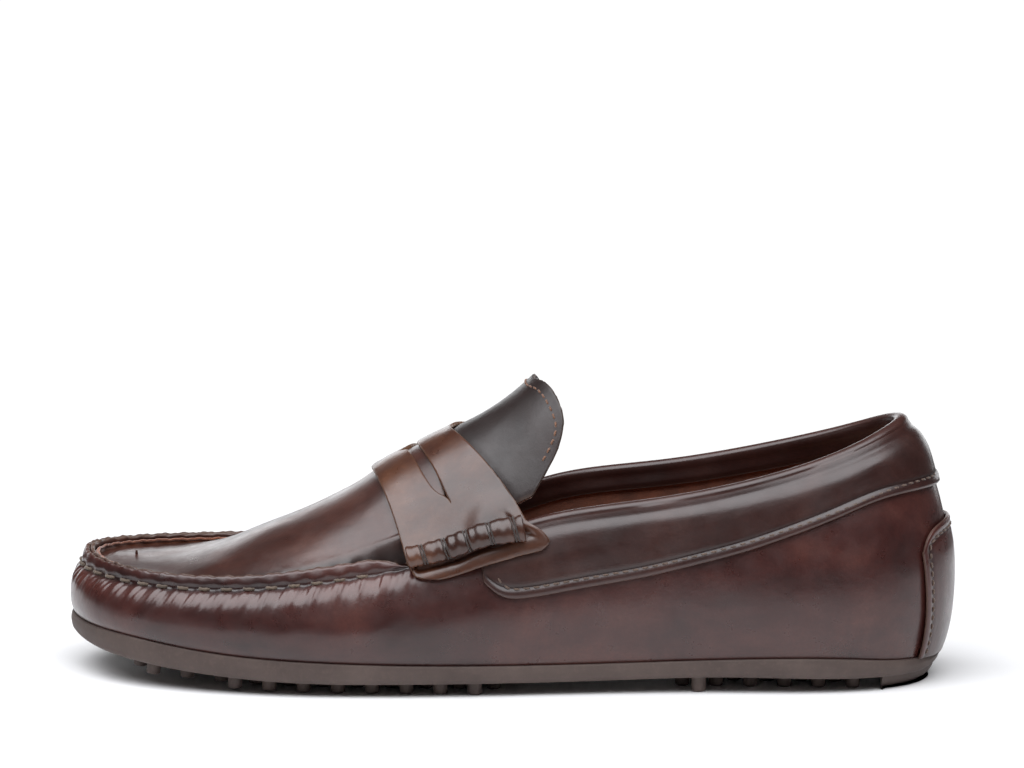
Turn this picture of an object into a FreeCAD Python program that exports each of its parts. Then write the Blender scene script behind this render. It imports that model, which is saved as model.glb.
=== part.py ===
import FreeCAD, Part
import bisect
import math
import os

# A left-foot driving moccasin: a leather wrap drawn up round the foot, gathered on to an apron,
# with a saddle strap, two beef rolls, a soft collar, and a moulded rubber sole with round studs.
# Millimetres. Toe towards -X, lateral (outer) side towards -Y, +Z up, sole studs on z = 0.

Vector = FreeCAD.Vector

# ---- leather, foam and rubber thicknesses -------------------------------------------------
WRAP = 1.5
LINING = 0.8
COUNTER = 0.7
COUNTER_CLEARANCE = 0.42
OVERLAY = 1.2
STRAP = 1.4
THREAD = 0.7
GAP = 0.12
BOARD = 1.3
FOAM = 2.8
SOCK = 1.1

LINING_FACE = WRAP + 2 * GAP + COUNTER + LINING

# ---- sole ---------------------------------------------------------------------------------
STUD_HEIGHT = 4.2
STUD_RADIUS = 2.2
STUD_TAPER = 0.3
STUD_PITCH = 11.0
STUD_ROW = 9.2
STUD_CLEARANCE = 0.08
STUD_MARGIN = 4.6
SOLE_FLOOR = 2.8
SOLE_FIT = 0.3
SOLE_LIP = 1.35
TOE_SPRING_START = -50.0
TOE_SPRING = 0.00088
HEEL_BLOCK_START = 121.0
HEEL_BLOCK_SET_IN = -1.2
HEEL_HOLLOW_RADIUS = 22.0

# ---- seam ridge, strap, rolls, tongue -----------------------------------------------------
RIDGE = 4.4
RIDGE_LEAN = 1.6
RIDGE_END = 5.45
STRAP_FRONT_CROWN = -44.6
STRAP_REAR_CROWN = -19.0
TAB_END = 1.22
SLOT_REAR_CROWN = -30.0
SLOT_HALF = 30.0
SLOT_WIDTH = 3.2
SLOT_NOTCH = 2.6
COLLAR_START = 6.36
COLLAR_DROP = 7.0
COLLAR_CLEARANCE = 1.7
ROLL_THREADS = 5
ROLL_CLEARANCE = 0.7
THREAD_SEAT = 0.2

# The shoe's middle, as drawn, so that the finished part stands on the middle of its own box.
CENTRE_X = -0.5
CENTRE_Y = -1.7

# Stations round the last, from the toe (0) by the lateral side (1 to 11) to the heel (12) and
# back by the medial side (13 to 23): foot x, foot y, rim x, rim y, rim z, low and high bulge.
STATIONS = [
    (-144.4, 4.0, -142.6, 4.0, 34.6, 3.5, 3.0),
    (-141.6, -9.5, -139.2, -10.0, 34.2, 3.8, 3.6),
    (-131.5, -26.5, -128.0, -25.0, 33.6, 4.5, 4.8),
    (-112.0, -39.5, -108.0, -37.0, 33.0, 5.0, 6.0),
    (-82.0, -47.8, -80.0, -43.6, 33.9, 5.5, 7.0),
    (-48.0, -49.8, -49.0, -44.6, 37.8, 6.0, 7.5),
    (-14.0, -46.8, -18.0, -42.5, 44.8, 6.5, 7.0),
    (20.0, -41.5, 12.0, -39.0, 55.4, 7.5, 5.0),
    (58.0, -36.5, 48.0, -35.2, 61.0, 8.0, 4.5),
    (92.0, -35.0, 82.0, -30.2, 67.4, 8.5, 6.0),
    (118.0, -29.5, 107.5, -23.5, 75.0, 9.0, 10.0),
    (133.5, -17.0, 123.0, -12.6, 81.2, 9.0, 13.0),
    (139.2, 0.0, 128.6, 0.0, 83.8, 9.0, 14.4),
    (134.0, 16.5, 123.0, 12.4, 82.0, 9.0, 13.0),
    (119.0, 28.0, 107.5, 22.4, 76.4, 9.0, 10.0),
    (93.0, 31.5, 82.0, 28.4, 69.6, 8.5, 6.0),
    (60.0, 29.0, 48.0, 31.4, 63.2, 8.5, 4.0),
    (26.0, 27.5, 13.0, 34.0, 57.6, 9.5, 4.0),
    (-8.0, 34.0, -17.0, 37.6, 46.0, 8.0, 6.0),
    (-44.0, 43.0, -48.0, 41.6, 38.4, 6.5, 7.0),
    (-78.0, 46.3, -78.0, 42.4, 34.6, 5.5, 6.5),
    (-108.0, 41.5, -106.0, 38.0, 34.0, 5.0, 5.6),
    (-129.0, 30.8, -126.5, 28.6, 34.6, 4.5, 4.6),
    (-140.5, 18.5, -138.4, 17.4, 34.8, 3.8, 3.6),
]
ROUND = len(STATIONS)
HEEL = 12.0

# Height of the sole's top edge along the shoe.
SOLE_TOP = [(-150, 17.9), (-128, 17.1), (-106, 14.6), (-84, 12.5), (-56, 11.2), (-20, 10.3),
            (20, 10.1), (60, 10.8), (88, 11.5), (112, 10.9), (130, 9.2), (146, 8.2)]
# Height of the leather along the crown of the foot: apron, instep, tongue.
CROWN = [(-143, 34.6), (-136, 35.8), (-120, 36.2), (-105, 38.0), (-94, 41.4), (-82, 46.6),
         (-71, 51.0), (-60, 56.2), (-50, 62.0), (-40, 68.8), (-29, 74.6), (-18, 80.4), (-8, 86.0),
         (2, 93.0), (8, 98.6), (22, 112.0)]
# Lower edge of the collar on the side of the shoe.
COLLAR_EDGE = [(-8, 44.0), (-5, 38.6), (0, 33.2), (6, 32.2), (18, 33.9), (31, 36.1), (47, 38.8),
               (63, 42.4), (79, 46.4), (94, 51.1), (110, 56.7), (126, 62.0), (141, 63.6)]


class Spline:
    """Natural cubic spline through points with rising x."""

    def __init__(self, xs, ys):
        self.xs = list(xs)
        self.ys = list(ys)
        count = len(self.xs)
        upper = [0.0] * count
        right = [0.0] * count
        for i in range(1, count - 1):
            before = self.xs[i] - self.xs[i - 1]
            after = self.xs[i + 1] - self.xs[i]
            slope_before = (self.ys[i] - self.ys[i - 1]) / before
            slope_after = (self.ys[i + 1] - self.ys[i]) / after
            pivot = 2 * (before + after) - before * upper[i - 1]
            upper[i] = after / pivot
            right[i] = (6 * (slope_after - slope_before) - before * right[i - 1]) / pivot
        self.bend = [0.0] * count
        for i in range(count - 2, 0, -1):
            self.bend[i] = right[i] - upper[i] * self.bend[i + 1]

    def __call__(self, x):
        i = min(max(bisect.bisect_right(self.xs, x) - 1, 0), len(self.xs) - 2)
        step = self.xs[i + 1] - self.xs[i]
        a = (self.xs[i + 1] - x) / step
        b = (x - self.xs[i]) / step
        curve = (a ** 3 - a) * self.bend[i] + (b ** 3 - b) * self.bend[i + 1]
        return a * self.ys[i] + b * self.ys[i + 1] + curve * step * step / 6


def smooth(x):
    """Ease from 0 to 1 as x goes from 0 to 1."""
    x = min(max(x, 0.0), 1.0)
    return x * x * (3 - 2 * x)


def spread(low, high, count):
    return [low + (high - low) * i / (count - 1) for i in range(count)]


def solve(function, target, low, high):
    """The argument between low and high where a monotonic function has the target value."""
    rising = function(high) > function(low)
    for _ in range(40):
        middle = (low + high) / 2
        if (function(middle) > target) == rising:
            high = middle
        else:
            low = middle
    return (low + high) / 2


PAD = 4
_turns = range(-PAD, ROUND + PAD + 1)
_columns = [Spline(_turns, [STATIONS[i % ROUND][k] for i in _turns]) for k in range(7)]
sole_top = Spline(*zip(*SOLE_TOP))
crown = Spline(*zip(*CROWN))
collar_edge = Spline(*zip(*COLLAR_EDGE))


def sole_bottom(x):
    """Height of the sole's flat underside between the studs."""
    spring = TOE_SPRING * max(0.0, TOE_SPRING_START - x) ** 2
    waist = 1.0 * math.exp(-((x - 72) / 34) ** 2)
    return STUD_HEIGHT + spring + waist


_ring_cache = {}


def ring(s):
    key = round(s % ROUND, 6)
    if key not in _ring_cache:
        _ring_cache[key] = [column(key) for column in _columns]
    return _ring_cache[key]


def outward(s):
    """Unit plan vector that points out of the shoe at station s."""
    ahead, behind = ring(s + 1e-3), ring(s - 1e-3)
    tx = ahead[0] - behind[0] + ahead[2] - behind[2]
    ty = ahead[1] - behind[1] + ahead[3] - behind[3]
    size = math.hypot(tx, ty)
    return ty / size, -tx / size


def wall_base(s, v):
    """Outer face of the leather wall: v = 0 at the sole's edge, v = 1 at the rim."""
    fx, fy, rx, ry, rz, low, high = ring(s)
    nx, ny = outward(s)
    fz = sole_top(fx) - 0.6
    rise = rz - fz
    corners = (
        Vector(fx, fy, fz),
        Vector(fx + nx * low, fy + ny * low, fz + 0.27 * rise),
        Vector(rx + nx * high, ry + ny * high, rz - 0.24 * rise),
        Vector(rx, ry, rz),
    )
    u = 1 - v
    weights = (u ** 3, 3 * u * u * v, 3 * u * v * v, v ** 3)
    total = Vector(0, 0, 0)
    for corner, weight in zip(corners, weights):
        total = total + corner * weight
    return total


def wall(s, v, depth=0.0):
    """A point on the wall, moved out along its normal by depth."""
    point = wall_base(s, v)
    if depth == 0.0:
        return point
    step = 1e-3
    along = wall_base(s + step, v) - wall_base(s - step, v)
    up = wall_base(s, min(v + step, 1.0)) - wall_base(s, max(v - step, 0.0))
    normal = along.cross(up)
    normal.normalize()
    return point + normal * depth


def rim_station(x, medial):
    low, high = (HEEL, ROUND) if medial else (0.0, HEEL)
    return solve(lambda s: ring(s)[2], x, low + 1e-4, high - 1e-4)


def wall_station(x, v, medial):
    low, high = (HEEL, ROUND) if medial else (0.0, HEEL)
    return solve(lambda s: wall_base(s, v).x, x, low + 1e-4, high - 1e-4)


def height_share(s, z):
    """The v on station s where the wall is at height z."""
    return solve(lambda v: wall_base(s, v).z, z, 0.0, 1.0)


_rim_cache = {}


def rims(x):
    """The rim's y and z at x, lateral then medial."""
    key = round(x, 4)
    if key not in _rim_cache:
        left, right = ring(rim_station(x, False)), ring(rim_station(x, True))
        _rim_cache[key] = (left[3], left[4], right[3], right[4])
    return _rim_cache[key]


def arch_height(x, y):
    """Height of the apron, instep or tongue leather above a plan point."""
    yl, zl, ym, zm = rims(max(x, -142.4))
    middle, half = (yl + ym) / 2, (ym - yl) / 2
    t = (y - middle) / half
    share = (min(max(t, -1), 1) + 1) / 2
    edge = zl * (1 - share) + zm * share
    top = crown(x) - (zl + zm) / 2
    return edge + top * (1 - min(abs(t), 1.25) ** 2.15)


def arch(x, t, depth=0.0):
    """A point on the arch of the foot: t = -1 at the lateral rim, 1 at the medial rim."""
    yl, zl, ym, zm = rims(x)
    y = (yl + ym) / 2 + t * (ym - yl) / 2
    point = Vector(x, y, arch_height(x, y))
    if depth == 0.0:
        return point
    step = 0.05
    slope_x = (arch_height(x + step, y) - arch_height(x - step, y)) / (2 * step)
    slope_y = (arch_height(x, y + step) - arch_height(x, y - step)) / (2 * step)
    normal = Vector(-slope_x, -slope_y, 1)
    normal.normalize()
    return point + normal * depth


def girth(x, t, depth=0.0):
    """Over the foot and down its sides: |t| from 0 at the crown to 1 at the rim, then down the wall."""
    if abs(t) <= 1:
        return arch(x, t, depth)
    v = 2 - abs(t)
    return wall(wall_station(x, v, t > 0), v, depth)


def interpolated(grid):
    """Smooth surface through a grid of points."""
    surface = Part.BSplineSurface()
    surface.interpolate(grid)
    return surface


def draped(grid):
    """Smooth surface that a grid of points pulls towards itself, so that folds stay calm."""
    knots = [list(range(count - 2)) for count in (len(grid), len(grid[0]))]
    repeats = [[4] + [1] * (len(row) - 2) + [4] for row in knots]
    surface = Part.BSplineSurface()
    surface.buildFromPolesMultsKnots(grid, repeats[0], repeats[1], knots[0], knots[1],
                                     False, False, 3, 3)
    return surface


def patch_solid(outer, inner, skin_of=interpolated):
    """Closed solid between two grids of points with the same layout."""
    skins = [skin_of(outer), skin_of(inner)]
    borders = []
    for skin in skins:
        u0, u1, v0, v1 = skin.bounds()
        borders.append([skin.uIso(u0), skin.uIso(u1), skin.vIso(v0), skin.vIso(v1)])
    faces = [skin.toShape() for skin in skins]
    for first, second in zip(*borders):
        faces.append(Part.makeRuledSurface(first.toShape(), second.toShape(), 1))
    shell = Part.makeShell([face for item in faces for face in item.Faces])
    shell.sewShape()
    solid = Part.Solid(Part.Shell(shell.Faces))
    if solid.Volume < 0:
        solid.reverse()
    return solid


def wall_patch(stations, low, high, outside, inside, rows=12):
    """Leather on the wall between two edges; low and high give v at a station."""
    outer, inner = [], []
    for s in stations:
        levels = spread(low(s), high(s), rows)
        outer.append([wall(s, v, outside) for v in levels])
        inner.append([wall(s, v, inside) for v in levels])
    return patch_solid(outer, inner)


def outline_wire(offset, count=96):
    """Closed plan curve round the shoe at the sole's edge, moved out by offset."""
    points = []
    for i in range(count):
        s = i * ROUND / count
        x, y = ring(s)[:2]
        nx, ny = outward(s)
        points.append(Vector(x + nx * offset, y + ny * offset, -20))
    curve = Part.BSplineCurve()
    curve.interpolate(points, PeriodicFlag=True)
    return Part.Wire([curve.toShape()])


def outline_prism(offset):
    return Part.Face(outline_wire(offset)).extrude(Vector(0, 0, 160))


def profile_slab(bottom, top, start, end, count=60):
    """Solid between two side profiles, as wide as the shoe and more."""
    xs = spread(start, end, count)
    low = [Vector(x, -80, bottom(x)) for x in xs]
    high = [Vector(x, -80, top(x)) for x in xs]
    curve_low, curve_high = Part.BSplineCurve(), Part.BSplineCurve()
    curve_low.interpolate(low)
    curve_high.interpolate(high)
    edges = [curve_low.toShape(), Part.makeLine(low[-1], high[-1]), curve_high.toShape(),
             Part.makeLine(high[0], low[0])]
    face = Part.Face(Part.Wire(Part.sortEdges(edges)[0]))
    return face.extrude(Vector(0, 160, 0))


def sole_layer(low, high, inset, start=-160, end=160):
    """A flat layer of the bottom, given by heights above the sole's underside."""
    slab = profile_slab(lambda x: sole_bottom(x) + low, lambda x: sole_bottom(x) + high, start, end)
    return slab.common(outline_prism(-inset))


def inside_outline(x, y, inset):
    """Whether a plan point lies inside the sole's edge by at least inset."""
    yl = ring(solve(lambda s: ring(s)[0], x, 1e-4, HEEL - 1e-4))[1]
    ym = ring(solve(lambda s: ring(s)[0], x, HEEL + 1e-4, ROUND - 1e-4))[1]
    if not yl + inset < y < ym - inset:
        return False
    near = min(math.hypot(x - ring(i / 4)[0], y - ring(i / 4)[1]) for i in range(4 * ROUND))
    return near > inset


# ---- pieces -------------------------------------------------------------------------------

def make_stud(x, y):
    """One stud: square to the sole where the toe springs up, and down to the ground at the heel."""
    lean = sole_bottom(x + 0.5) - sole_bottom(x - 0.5) if x < 0 else 0.0
    axis = Vector(lean, 0, -1)
    axis.normalize()
    top = sole_bottom(x) - (0.0 if x < 0 else STUD_CLEARANCE)
    length = STUD_HEIGHT if x < 0 else top
    return Part.makeCone(STUD_RADIUS + STUD_TAPER, STUD_RADIUS, length, Vector(x, y, top), axis)


def make_studs(low_x, high_x):
    """Round studs in staggered rows between two places along the shoe."""
    studs = []
    row = 0
    y = -60.0
    while y < 60.0:
        x = -141.0 + (STUD_PITCH / 2 if row % 2 else 0.0)
        while x < high_x:
            if x > low_x and inside_outline(x, y, STUD_MARGIN):
                studs.append(make_stud(x, y))
            x += STUD_PITCH
        y += STUD_ROW
        row += 1
    return Part.makeCompound(studs)


def make_outsole():
    """Rubber cup: a thin base, a side band, and a solid crescent under the back of the heel."""
    body = profile_slab(sole_bottom, sole_top, -160, 160).common(outline_prism(SOLE_LIP))
    cup = profile_slab(lambda x: sole_bottom(x) + SOLE_FLOOR, lambda x: sole_top(x) + 20, -160, 160)
    body = body.cut(cup.common(outline_prism(SOLE_FIT)))
    heel = Part.makeBox(60, 160, STUD_HEIGHT + 1.4, Vector(HEEL_BLOCK_START, -80, 0))
    heel = heel.common(outline_prism(HEEL_BLOCK_SET_IN))
    hollow = Part.makeCylinder(HEEL_HOLLOW_RADIUS, 30, Vector(HEEL_BLOCK_START - 9, -1, -5))
    return body.fuse(heel.cut(hollow))


def from_toe(s):
    """Stations counted from the toe, the same on both sides."""
    return min(s, ROUND - s)


def ridge_share(s):
    """1 where the gathered seam stands up, 0 where it ends under the strap."""
    return 1 - smooth((from_toe(s) - RIDGE_END + 0.25) / 0.5)


def wrap_top(s):
    """Where the wrap ends: the rim in front, under the collar's lower edge behind."""
    if from_toe(s) < 5.5:
        return 1.0
    hidden = height_share(s, collar_edge(wall_base(s, 0.5).x) + 8.0)
    return 1 - smooth((from_toe(s) - 5.8) / 1.1) * (1 - min(hidden, 0.97))


def lip_point(s, height, depth):
    """A point on the standing edge of the seam, above the rim."""
    values = ring(s)
    nx, ny = outward(s)
    inward = RIDGE_LEAN * height / RIDGE - depth
    return Vector(values[2] - nx * inward, values[3] - ny * inward, values[4] + height)


SEAM_SLIT = 0.02
SEAM_STEP = 0.15
SEAM_FINE = (0.0, 0.02, 0.05, 0.09)  # stations close to the heel seam keep the surface's ends calm


def make_wrap():
    """The main leather: walls, standing seam edge in front, and the bottom under the foot."""
    outer, inner = [], []
    run = HEEL - SEAM_SLIT
    track = spread(SEAM_STEP - run, run - SEAM_STEP, 159)
    track = [near - run for near in SEAM_FINE] + track + [run - near for near in SEAM_FINE[::-1]]
    for s in track:
        s = s % ROUND
        top = wrap_top(s)
        rear = smooth((from_toe(s) - 5.8) / 1.1)
        for grid, depth in ((outer, 0.0), (inner, -WRAP)):
            foot = wall(s, 0.0, depth)
            floor = sole_bottom(foot.x) + SOLE_FLOOR + GAP
            points = [Vector(foot.x, foot.y, floor), Vector(foot.x, foot.y, (floor + foot.z) / 2)]
            points += [wall(s, v, depth) for v in spread(0.0, top, 14)]
            edge = wall(s, min(top, 0.96), depth)
            for k in (1, 2, 3):
                lip = lip_point(s, max(RIDGE * ridge_share(s), 0.3) * k / 3, depth)
                plain = edge + Vector(0, 0, 0.3 * k)
                points.append(lip * (1 - rear) + plain * rear)
            grid.append(points)
    low = SOLE_FLOOR + GAP
    return Part.makeCompound([patch_solid(outer, inner), sole_layer(low, low + WRAP, WRAP + GAP)])


def apron_slab(top_depth, thickness, inset, rear_gap):
    """Leather over the front of the foot, cut to the seam line and to the strap's hidden line."""
    upper, lower = [], []
    for x in spread(-142.3, 8.0, 48):
        yl, zl, ym, zm = rims(x)
        reach = max((ym - yl) / 2, 24.0) + 1.0
        middle = (yl + ym) / 2
        high, low = [], []
        for y in spread(middle - reach, middle + reach, 27):
            slope = (arch_height(x, y + 0.1) - arch_height(x, y - 0.1)) / 0.2
            steep = math.sqrt(1 + min(slope * slope, 4.0))
            z = arch_height(x, y)
            high.append(Vector(x, y, z - top_depth * steep))
            low.append(Vector(x, y, z - (top_depth + thickness) * steep))
        upper.append(high)
        lower.append(low)
    slab = patch_solid(upper, lower)
    points = []
    for s in spread(-6.3, 6.3, 60):
        values = ring(s)
        nx, ny = outward(s)
        points.append(Vector(values[2] - nx * inset, values[3] - ny * inset, -5))
    seam = Part.BSplineCurve()
    seam.interpolate(points)
    medial, lateral = points[0], points[-1]
    rear = [medial]
    for t in spread(0.86, -0.86, 15):
        yl, zl, ym, zm = rims(-5)
        rear.append(Vector(strap_rear(t) - rear_gap, (yl + ym) / 2 + t * (ym - yl) / 2, -5))
    rear.append(lateral)
    edge = Part.makePolygon(rear)
    wire = Part.Wire([seam.toShape()] + edge.Edges)
    return slab.common(Part.Face(wire).extrude(Vector(0, 0, 150)))


def seam_strip(outside, inside, low, high, rows=5, reach=5.4):
    """A strip that follows the seam line: distances in from the wrap's face, heights over the rim."""
    outer, inner = [], []
    for s in spread(-reach, reach, 90):
        levels = spread(low, max(high * ridge_share(s % ROUND), 1.2), rows)
        outer.append([lip_point(s, level, -outside) for level in levels])
        inner.append([lip_point(s, level, -inside) for level in levels])
    return patch_solid(outer, inner)


def make_apron():
    """The plug over the forefoot, with its edge turned up inside the wrap's gathered edge."""
    lip = seam_strip(WRAP + GAP, 2 * WRAP + GAP, -2.2, RIDGE - 0.3)
    return apron_slab(0.0, WRAP, WRAP + 0.9, 3.0).fuse(lip)


def make_apron_lining():
    return apron_slab(WRAP + GAP, LINING, WRAP * 2 + 2.0, 3.0)


def strap_front(t):
    """Front edge of the strap, with the tab's rounded corner at its end."""
    t = abs(t)
    corner = 7.0 * max((t - TAB_END + 0.1) / 0.1, 0.0) ** 2.2
    return STRAP_FRONT_CROWN + 14.6 * min(t, 1.0) ** 1.5 + 16.0 * max(t - 1, 0) + corner


def strap_rear(t):
    """Rear edge of the strap, swept back along the tab to its rear corner."""
    t = abs(t)
    past = max(t - 1, 0)
    corner = 4.0 * max((t - TAB_END + 0.07) / 0.07, 0.0) ** 2.5
    return STRAP_REAR_CROWN + 27.4 * min(t, 1.0) ** 1.65 + 60.0 * past - 110.0 * past ** 2 - corner


def strap_lift(x, t):
    """How far the strap rises to pass over the front of the collar."""
    over = smooth((x + 15.0) / 10.0)
    rim = 0.9 * math.exp(-((abs(t) - 0.98) / 0.18) ** 2)
    edge = 0.6 * math.exp(-((abs(t) - 1.0) / 0.09) ** 2)
    return over * (COLLAR_CLEARANCE * smooth((abs(t) - 0.78) / 0.13) + rim) + edge


def make_strap():
    """Saddle strap over the instep, with its show slot and its two ends below the rolls."""
    outer, inner = [], []
    for t in spread(-TAB_END, TAB_END, 67):
        xs = spread(strap_front(t), strap_rear(t), 13)
        outer.append([girth(x, t, GAP + STRAP + strap_lift(x, t)) for x in xs])
        inner.append([girth(x, t, GAP + strap_lift(x, t)) for x in xs])
    return patch_solid(outer, inner).cut(strap_slot())


def strap_slot():
    """Cutter for the slot across the crown: straight behind, bowed in front, with a centre notch."""
    yl, _, ym, _ = rims(SLOT_REAR_CROWN)
    middle = (yl + ym) / 2
    rear, front = [], []
    for y in spread(-SLOT_HALF, SLOT_HALF, 25):
        rear.append(Vector(slot_rear(y), middle + y, 40))
    for y in spread(SLOT_HALF, -SLOT_HALF, 45):
        share = abs(y) / SLOT_HALF
        bow = SLOT_WIDTH * math.sqrt(max(1 - share ** 8, 0.0)) * (0.92 + 0.12 * share)
        notch = SLOT_NOTCH * max(1 - abs(y) / 4.2, 0.0)
        front.append(Vector(slot_rear(y) - bow - notch, middle + y, 40))
    outline = Part.makePolygon(rear + front[1:-1] + [rear[0]])
    return Part.Face(outline).extrude(Vector(0, 0, 60))


def slot_rear(y):
    return SLOT_REAR_CROWN + 11.5 * (abs(y) / SLOT_HALF) ** 1.45


def roll_track(medial):
    """Splines for the middle line of a beef roll and for the way out of the strap along it."""
    shares = spread(0.0, 1.0, 4)
    rows = []
    for share in shares:
        x = -29.5 + 36.5 * share
        z = 42.8 + 9.4 * share + (0.9 if medial else 0.0)
        sign = 1 if medial else -1
        t = solve(lambda u: girth(x, sign * u).z, z, 0.55, 1.35)
        face = girth(x, sign * t, GAP + STRAP + strap_lift(x, t))
        away = face - girth(x, sign * t, 0.0)
        away.normalize()
        rows.append((face.x, face.y, face.z, away.x, away.y, away.z))
    return [Spline(shares, column) for column in zip(*rows)]


_roll_tracks = {medial: roll_track(medial) for medial in (False, True)}


def roll_path(share, medial):
    """Middle line of a beef roll: the point, and the unit vector away from the strap."""
    values = [column(share) for column in _roll_tracks[medial]]
    away = Vector(*values[3:])
    away.normalize()
    return Vector(*values[:3]), away


def roll_size(share):
    return 3.3 + 0.9 * share, 2.3 + 0.3 * share


def roll_ring(share, medial, angles, grow):
    """Points round the roll's section at one place along it."""
    face, away = roll_path(share, medial)
    ahead = roll_path(min(share + 0.02, 1.02), medial)[0] - roll_path(share - 0.02, medial)[0]
    ahead.normalize()
    across = ahead.cross(away)
    across.normalize()
    half, thick = roll_size(share)
    centre = face + away * (thick + ROLL_CLEARANCE)
    return [centre + across * ((half + grow) * math.sin(a)) + away * ((thick + grow) * math.cos(a))
            for a in angles]


def make_roll(medial):
    wires = []
    for share in spread(0.0, 1.0, 13):
        curve = Part.BSplineCurve()
        angles = [2 * math.pi * k / 20 for k in range(20)]
        curve.interpolate(roll_ring(share, medial, angles, 0.0), PeriodicFlag=True)
        wires.append(Part.Wire([curve.toShape()]))
    return Part.makeLoft(wires, True)


def make_roll_threads(medial):
    """The doubled hand stitches that bind the roll, each over the roll's open side."""
    bands = []
    for k in range(ROLL_THREADS):
        share = 0.13 + 0.2 * k
        angles = spread(-1.75, 1.75, 15)
        shares = [share - 0.022, share, share + 0.022]
        outer = [roll_ring(place, medial, angles, THREAD_SEAT + THREAD) for place in shares]
        inner = [roll_ring(place, medial, angles, THREAD_SEAT) for place in shares]
        bands.append(patch_solid(outer, inner))
    return Part.makeCompound(bands)


# Rear edge of the tongue along the shoe, from the lateral side (-1) by the crown to the medial side.
_lateral_edge = [(-1.0, 9.0), (-0.88, 15.8), (-0.78, 18.4), (-0.65, 17.3), (-0.5, 14.4), (-0.35, 11.4),
                 (-0.2, 8.6)]
_medial_edge = [(0.2, 7.7), (0.35, 8.3), (0.5, 9.3), (0.65, 10.6), (0.78, 11.4), (0.88, 10.4), (1.0, 8.0)]
_whole_edge = _lateral_edge + [(0.0, 7.4)] + _medial_edge
tongue_outline = Spline(*zip(*_whole_edge))


def make_tongue_layer(low, high, inset):
    """One layer of the tongue, from the seam under the strap's rear edge to its free edge."""
    outer, inner = [], []
    reach = 0.9
    for t in spread(-reach, reach, 31):
        start = strap_rear(t) + 0.35 + inset / 2
        end = max(tongue_outline(t / reach) - inset, start + 1.2)
        xs = spread(start, end, 9)
        outer.append([arch(x, t, high) for x in xs])
        inner.append([arch(x, t, low) for x in xs])
    return patch_solid(outer, inner)


def make_tongue_stitching():
    outer, inner = [], []
    for t in spread(-0.78, 0.78, 41):
        edge = tongue_outline(t / 0.9) - 2.4
        xs = [edge - 0.35, edge + 0.35]
        outer.append([arch(x, t, GAP + 0.5) for x in xs])
        inner.append([arch(x, t, GAP) for x in xs])
    return patch_solid(outer, inner)


def collar_low(s):
    return height_share(s, collar_edge(wall_base(s, 0.5).x) + (0.0 if s < HEEL else 1.0))


def squeeze(v):
    """The layers draw together towards the topline."""
    return 1 - 0.3 * smooth((v - 0.86) / 0.14)


REAR = spread(COLLAR_START, ROUND - COLLAR_START, 72)


def make_collar():
    """Soft leather collar, folded over the topline and down inside."""
    outer, inner = [], []
    outside = 2 * GAP + OVERLAY
    inside = LINING_FACE + 3 * GAP
    for s in REAR:
        low = collar_low(s)
        drop = COLLAR_DROP / (ring(s)[4] - wall_base(s, 0.0).z)
        nx, ny = outward(s)
        top = wall(s, 1.0)
        skin = [wall(s, v, outside * squeeze(v)) for v in spread(low, 0.98, 14)]
        back = [wall(s, v, 2 * GAP * squeeze(v)) for v in spread(low, 0.98, 14)]
        near, far = outside * squeeze(1.0), inside * squeeze(1.0)
        for share, lift in ((0.0, 0.9), (0.33, 1.8), (0.67, 1.8), (1.0, 0.9)):
            shift = near * (1 - share) - (far + OVERLAY) * share
            skin.append(top + Vector(nx * shift, ny * shift, lift))
            shift = 2 * GAP * (1 - share) - far * share
            back.append(top + Vector(nx * shift, ny * shift, lift - OVERLAY))
        for v in spread(0.98 - drop * 0.15, 0.98 - drop, 4):
            skin.append(wall(s, v, -(inside + OVERLAY) * squeeze(v)))
            back.append(wall(s, v, -inside * squeeze(v)))
        outer.append(skin)
        inner.append(back)
    return patch_solid(outer, inner, draped)


def make_collar_padding():
    """Foam between the collar and the lining, above the wrap's hidden edge."""
    outer, inner = [], []
    for s in spread(COLLAR_START + 0.9, ROUND - COLLAR_START - 0.9, 60):
        low = min(wrap_top(s) + 0.035, 0.9)
        levels = spread(low, 0.97, 9)
        outer.append([wall(s, v, -0.1) for v in levels])
        inner.append([wall(s, v, -WRAP * squeeze(v)) for v in levels])
    return patch_solid(outer, inner)


def make_collar_stitching():
    """Seam along the collar's lower edge."""
    def line(s, step):
        edge = collar_edge(wall_base(s, 0.5).x) + (0.0 if s < HEEL else 1.0)
        return height_share(s, edge + 3.0 + step)
    stations = spread(COLLAR_START + 0.35, ROUND - COLLAR_START - 0.35, 60)
    low = GAP * 3 + OVERLAY
    return wall_patch(stations, lambda s: line(s, -0.35), lambda s: line(s, 0.35), low + 0.5, low, 3)


def make_lining(start, end, top):
    """Lining of the walls between two stations, up to the v that top gives."""
    outside = -(WRAP + 2 * GAP + COUNTER)
    outer, inner = [], []
    for s in spread(start, end, max(int(abs(end - start) * 6), 12)):
        levels = spread(0.05, top(s), 12)
        outer.append([wall(s, v, outside * squeeze(v)) for v in levels])
        inner.append([wall(s, v, (outside - LINING) * squeeze(v)) for v in levels])
    return patch_solid(outer, inner)


def front_lining_top(s):
    return 0.8 if from_toe(s % ROUND) < 5.5 else 0.86


def rear_lining_top(s):
    return 0.92


def make_counter():
    """Stiffener cupped round the heel, between the wrap and the lining."""
    def top(s):
        return 0.1 + 0.56 * math.sqrt(max(1 - (abs(s - HEEL) / 2.75) ** 2.6, 0.0))
    outside = -WRAP - COUNTER_CLEARANCE
    return wall_patch(spread(9.3, 14.7, 45), lambda s: 0.06, top, outside, 0.1 - LINING_FACE + LINING, 10)


PATCH_REACH = 1.12


def patch_top(s):
    share = abs(s - HEEL) / PATCH_REACH
    return 0.575 - 0.075 * min(share, 1.0) ** 7 - 0.02 * share * share


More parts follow.
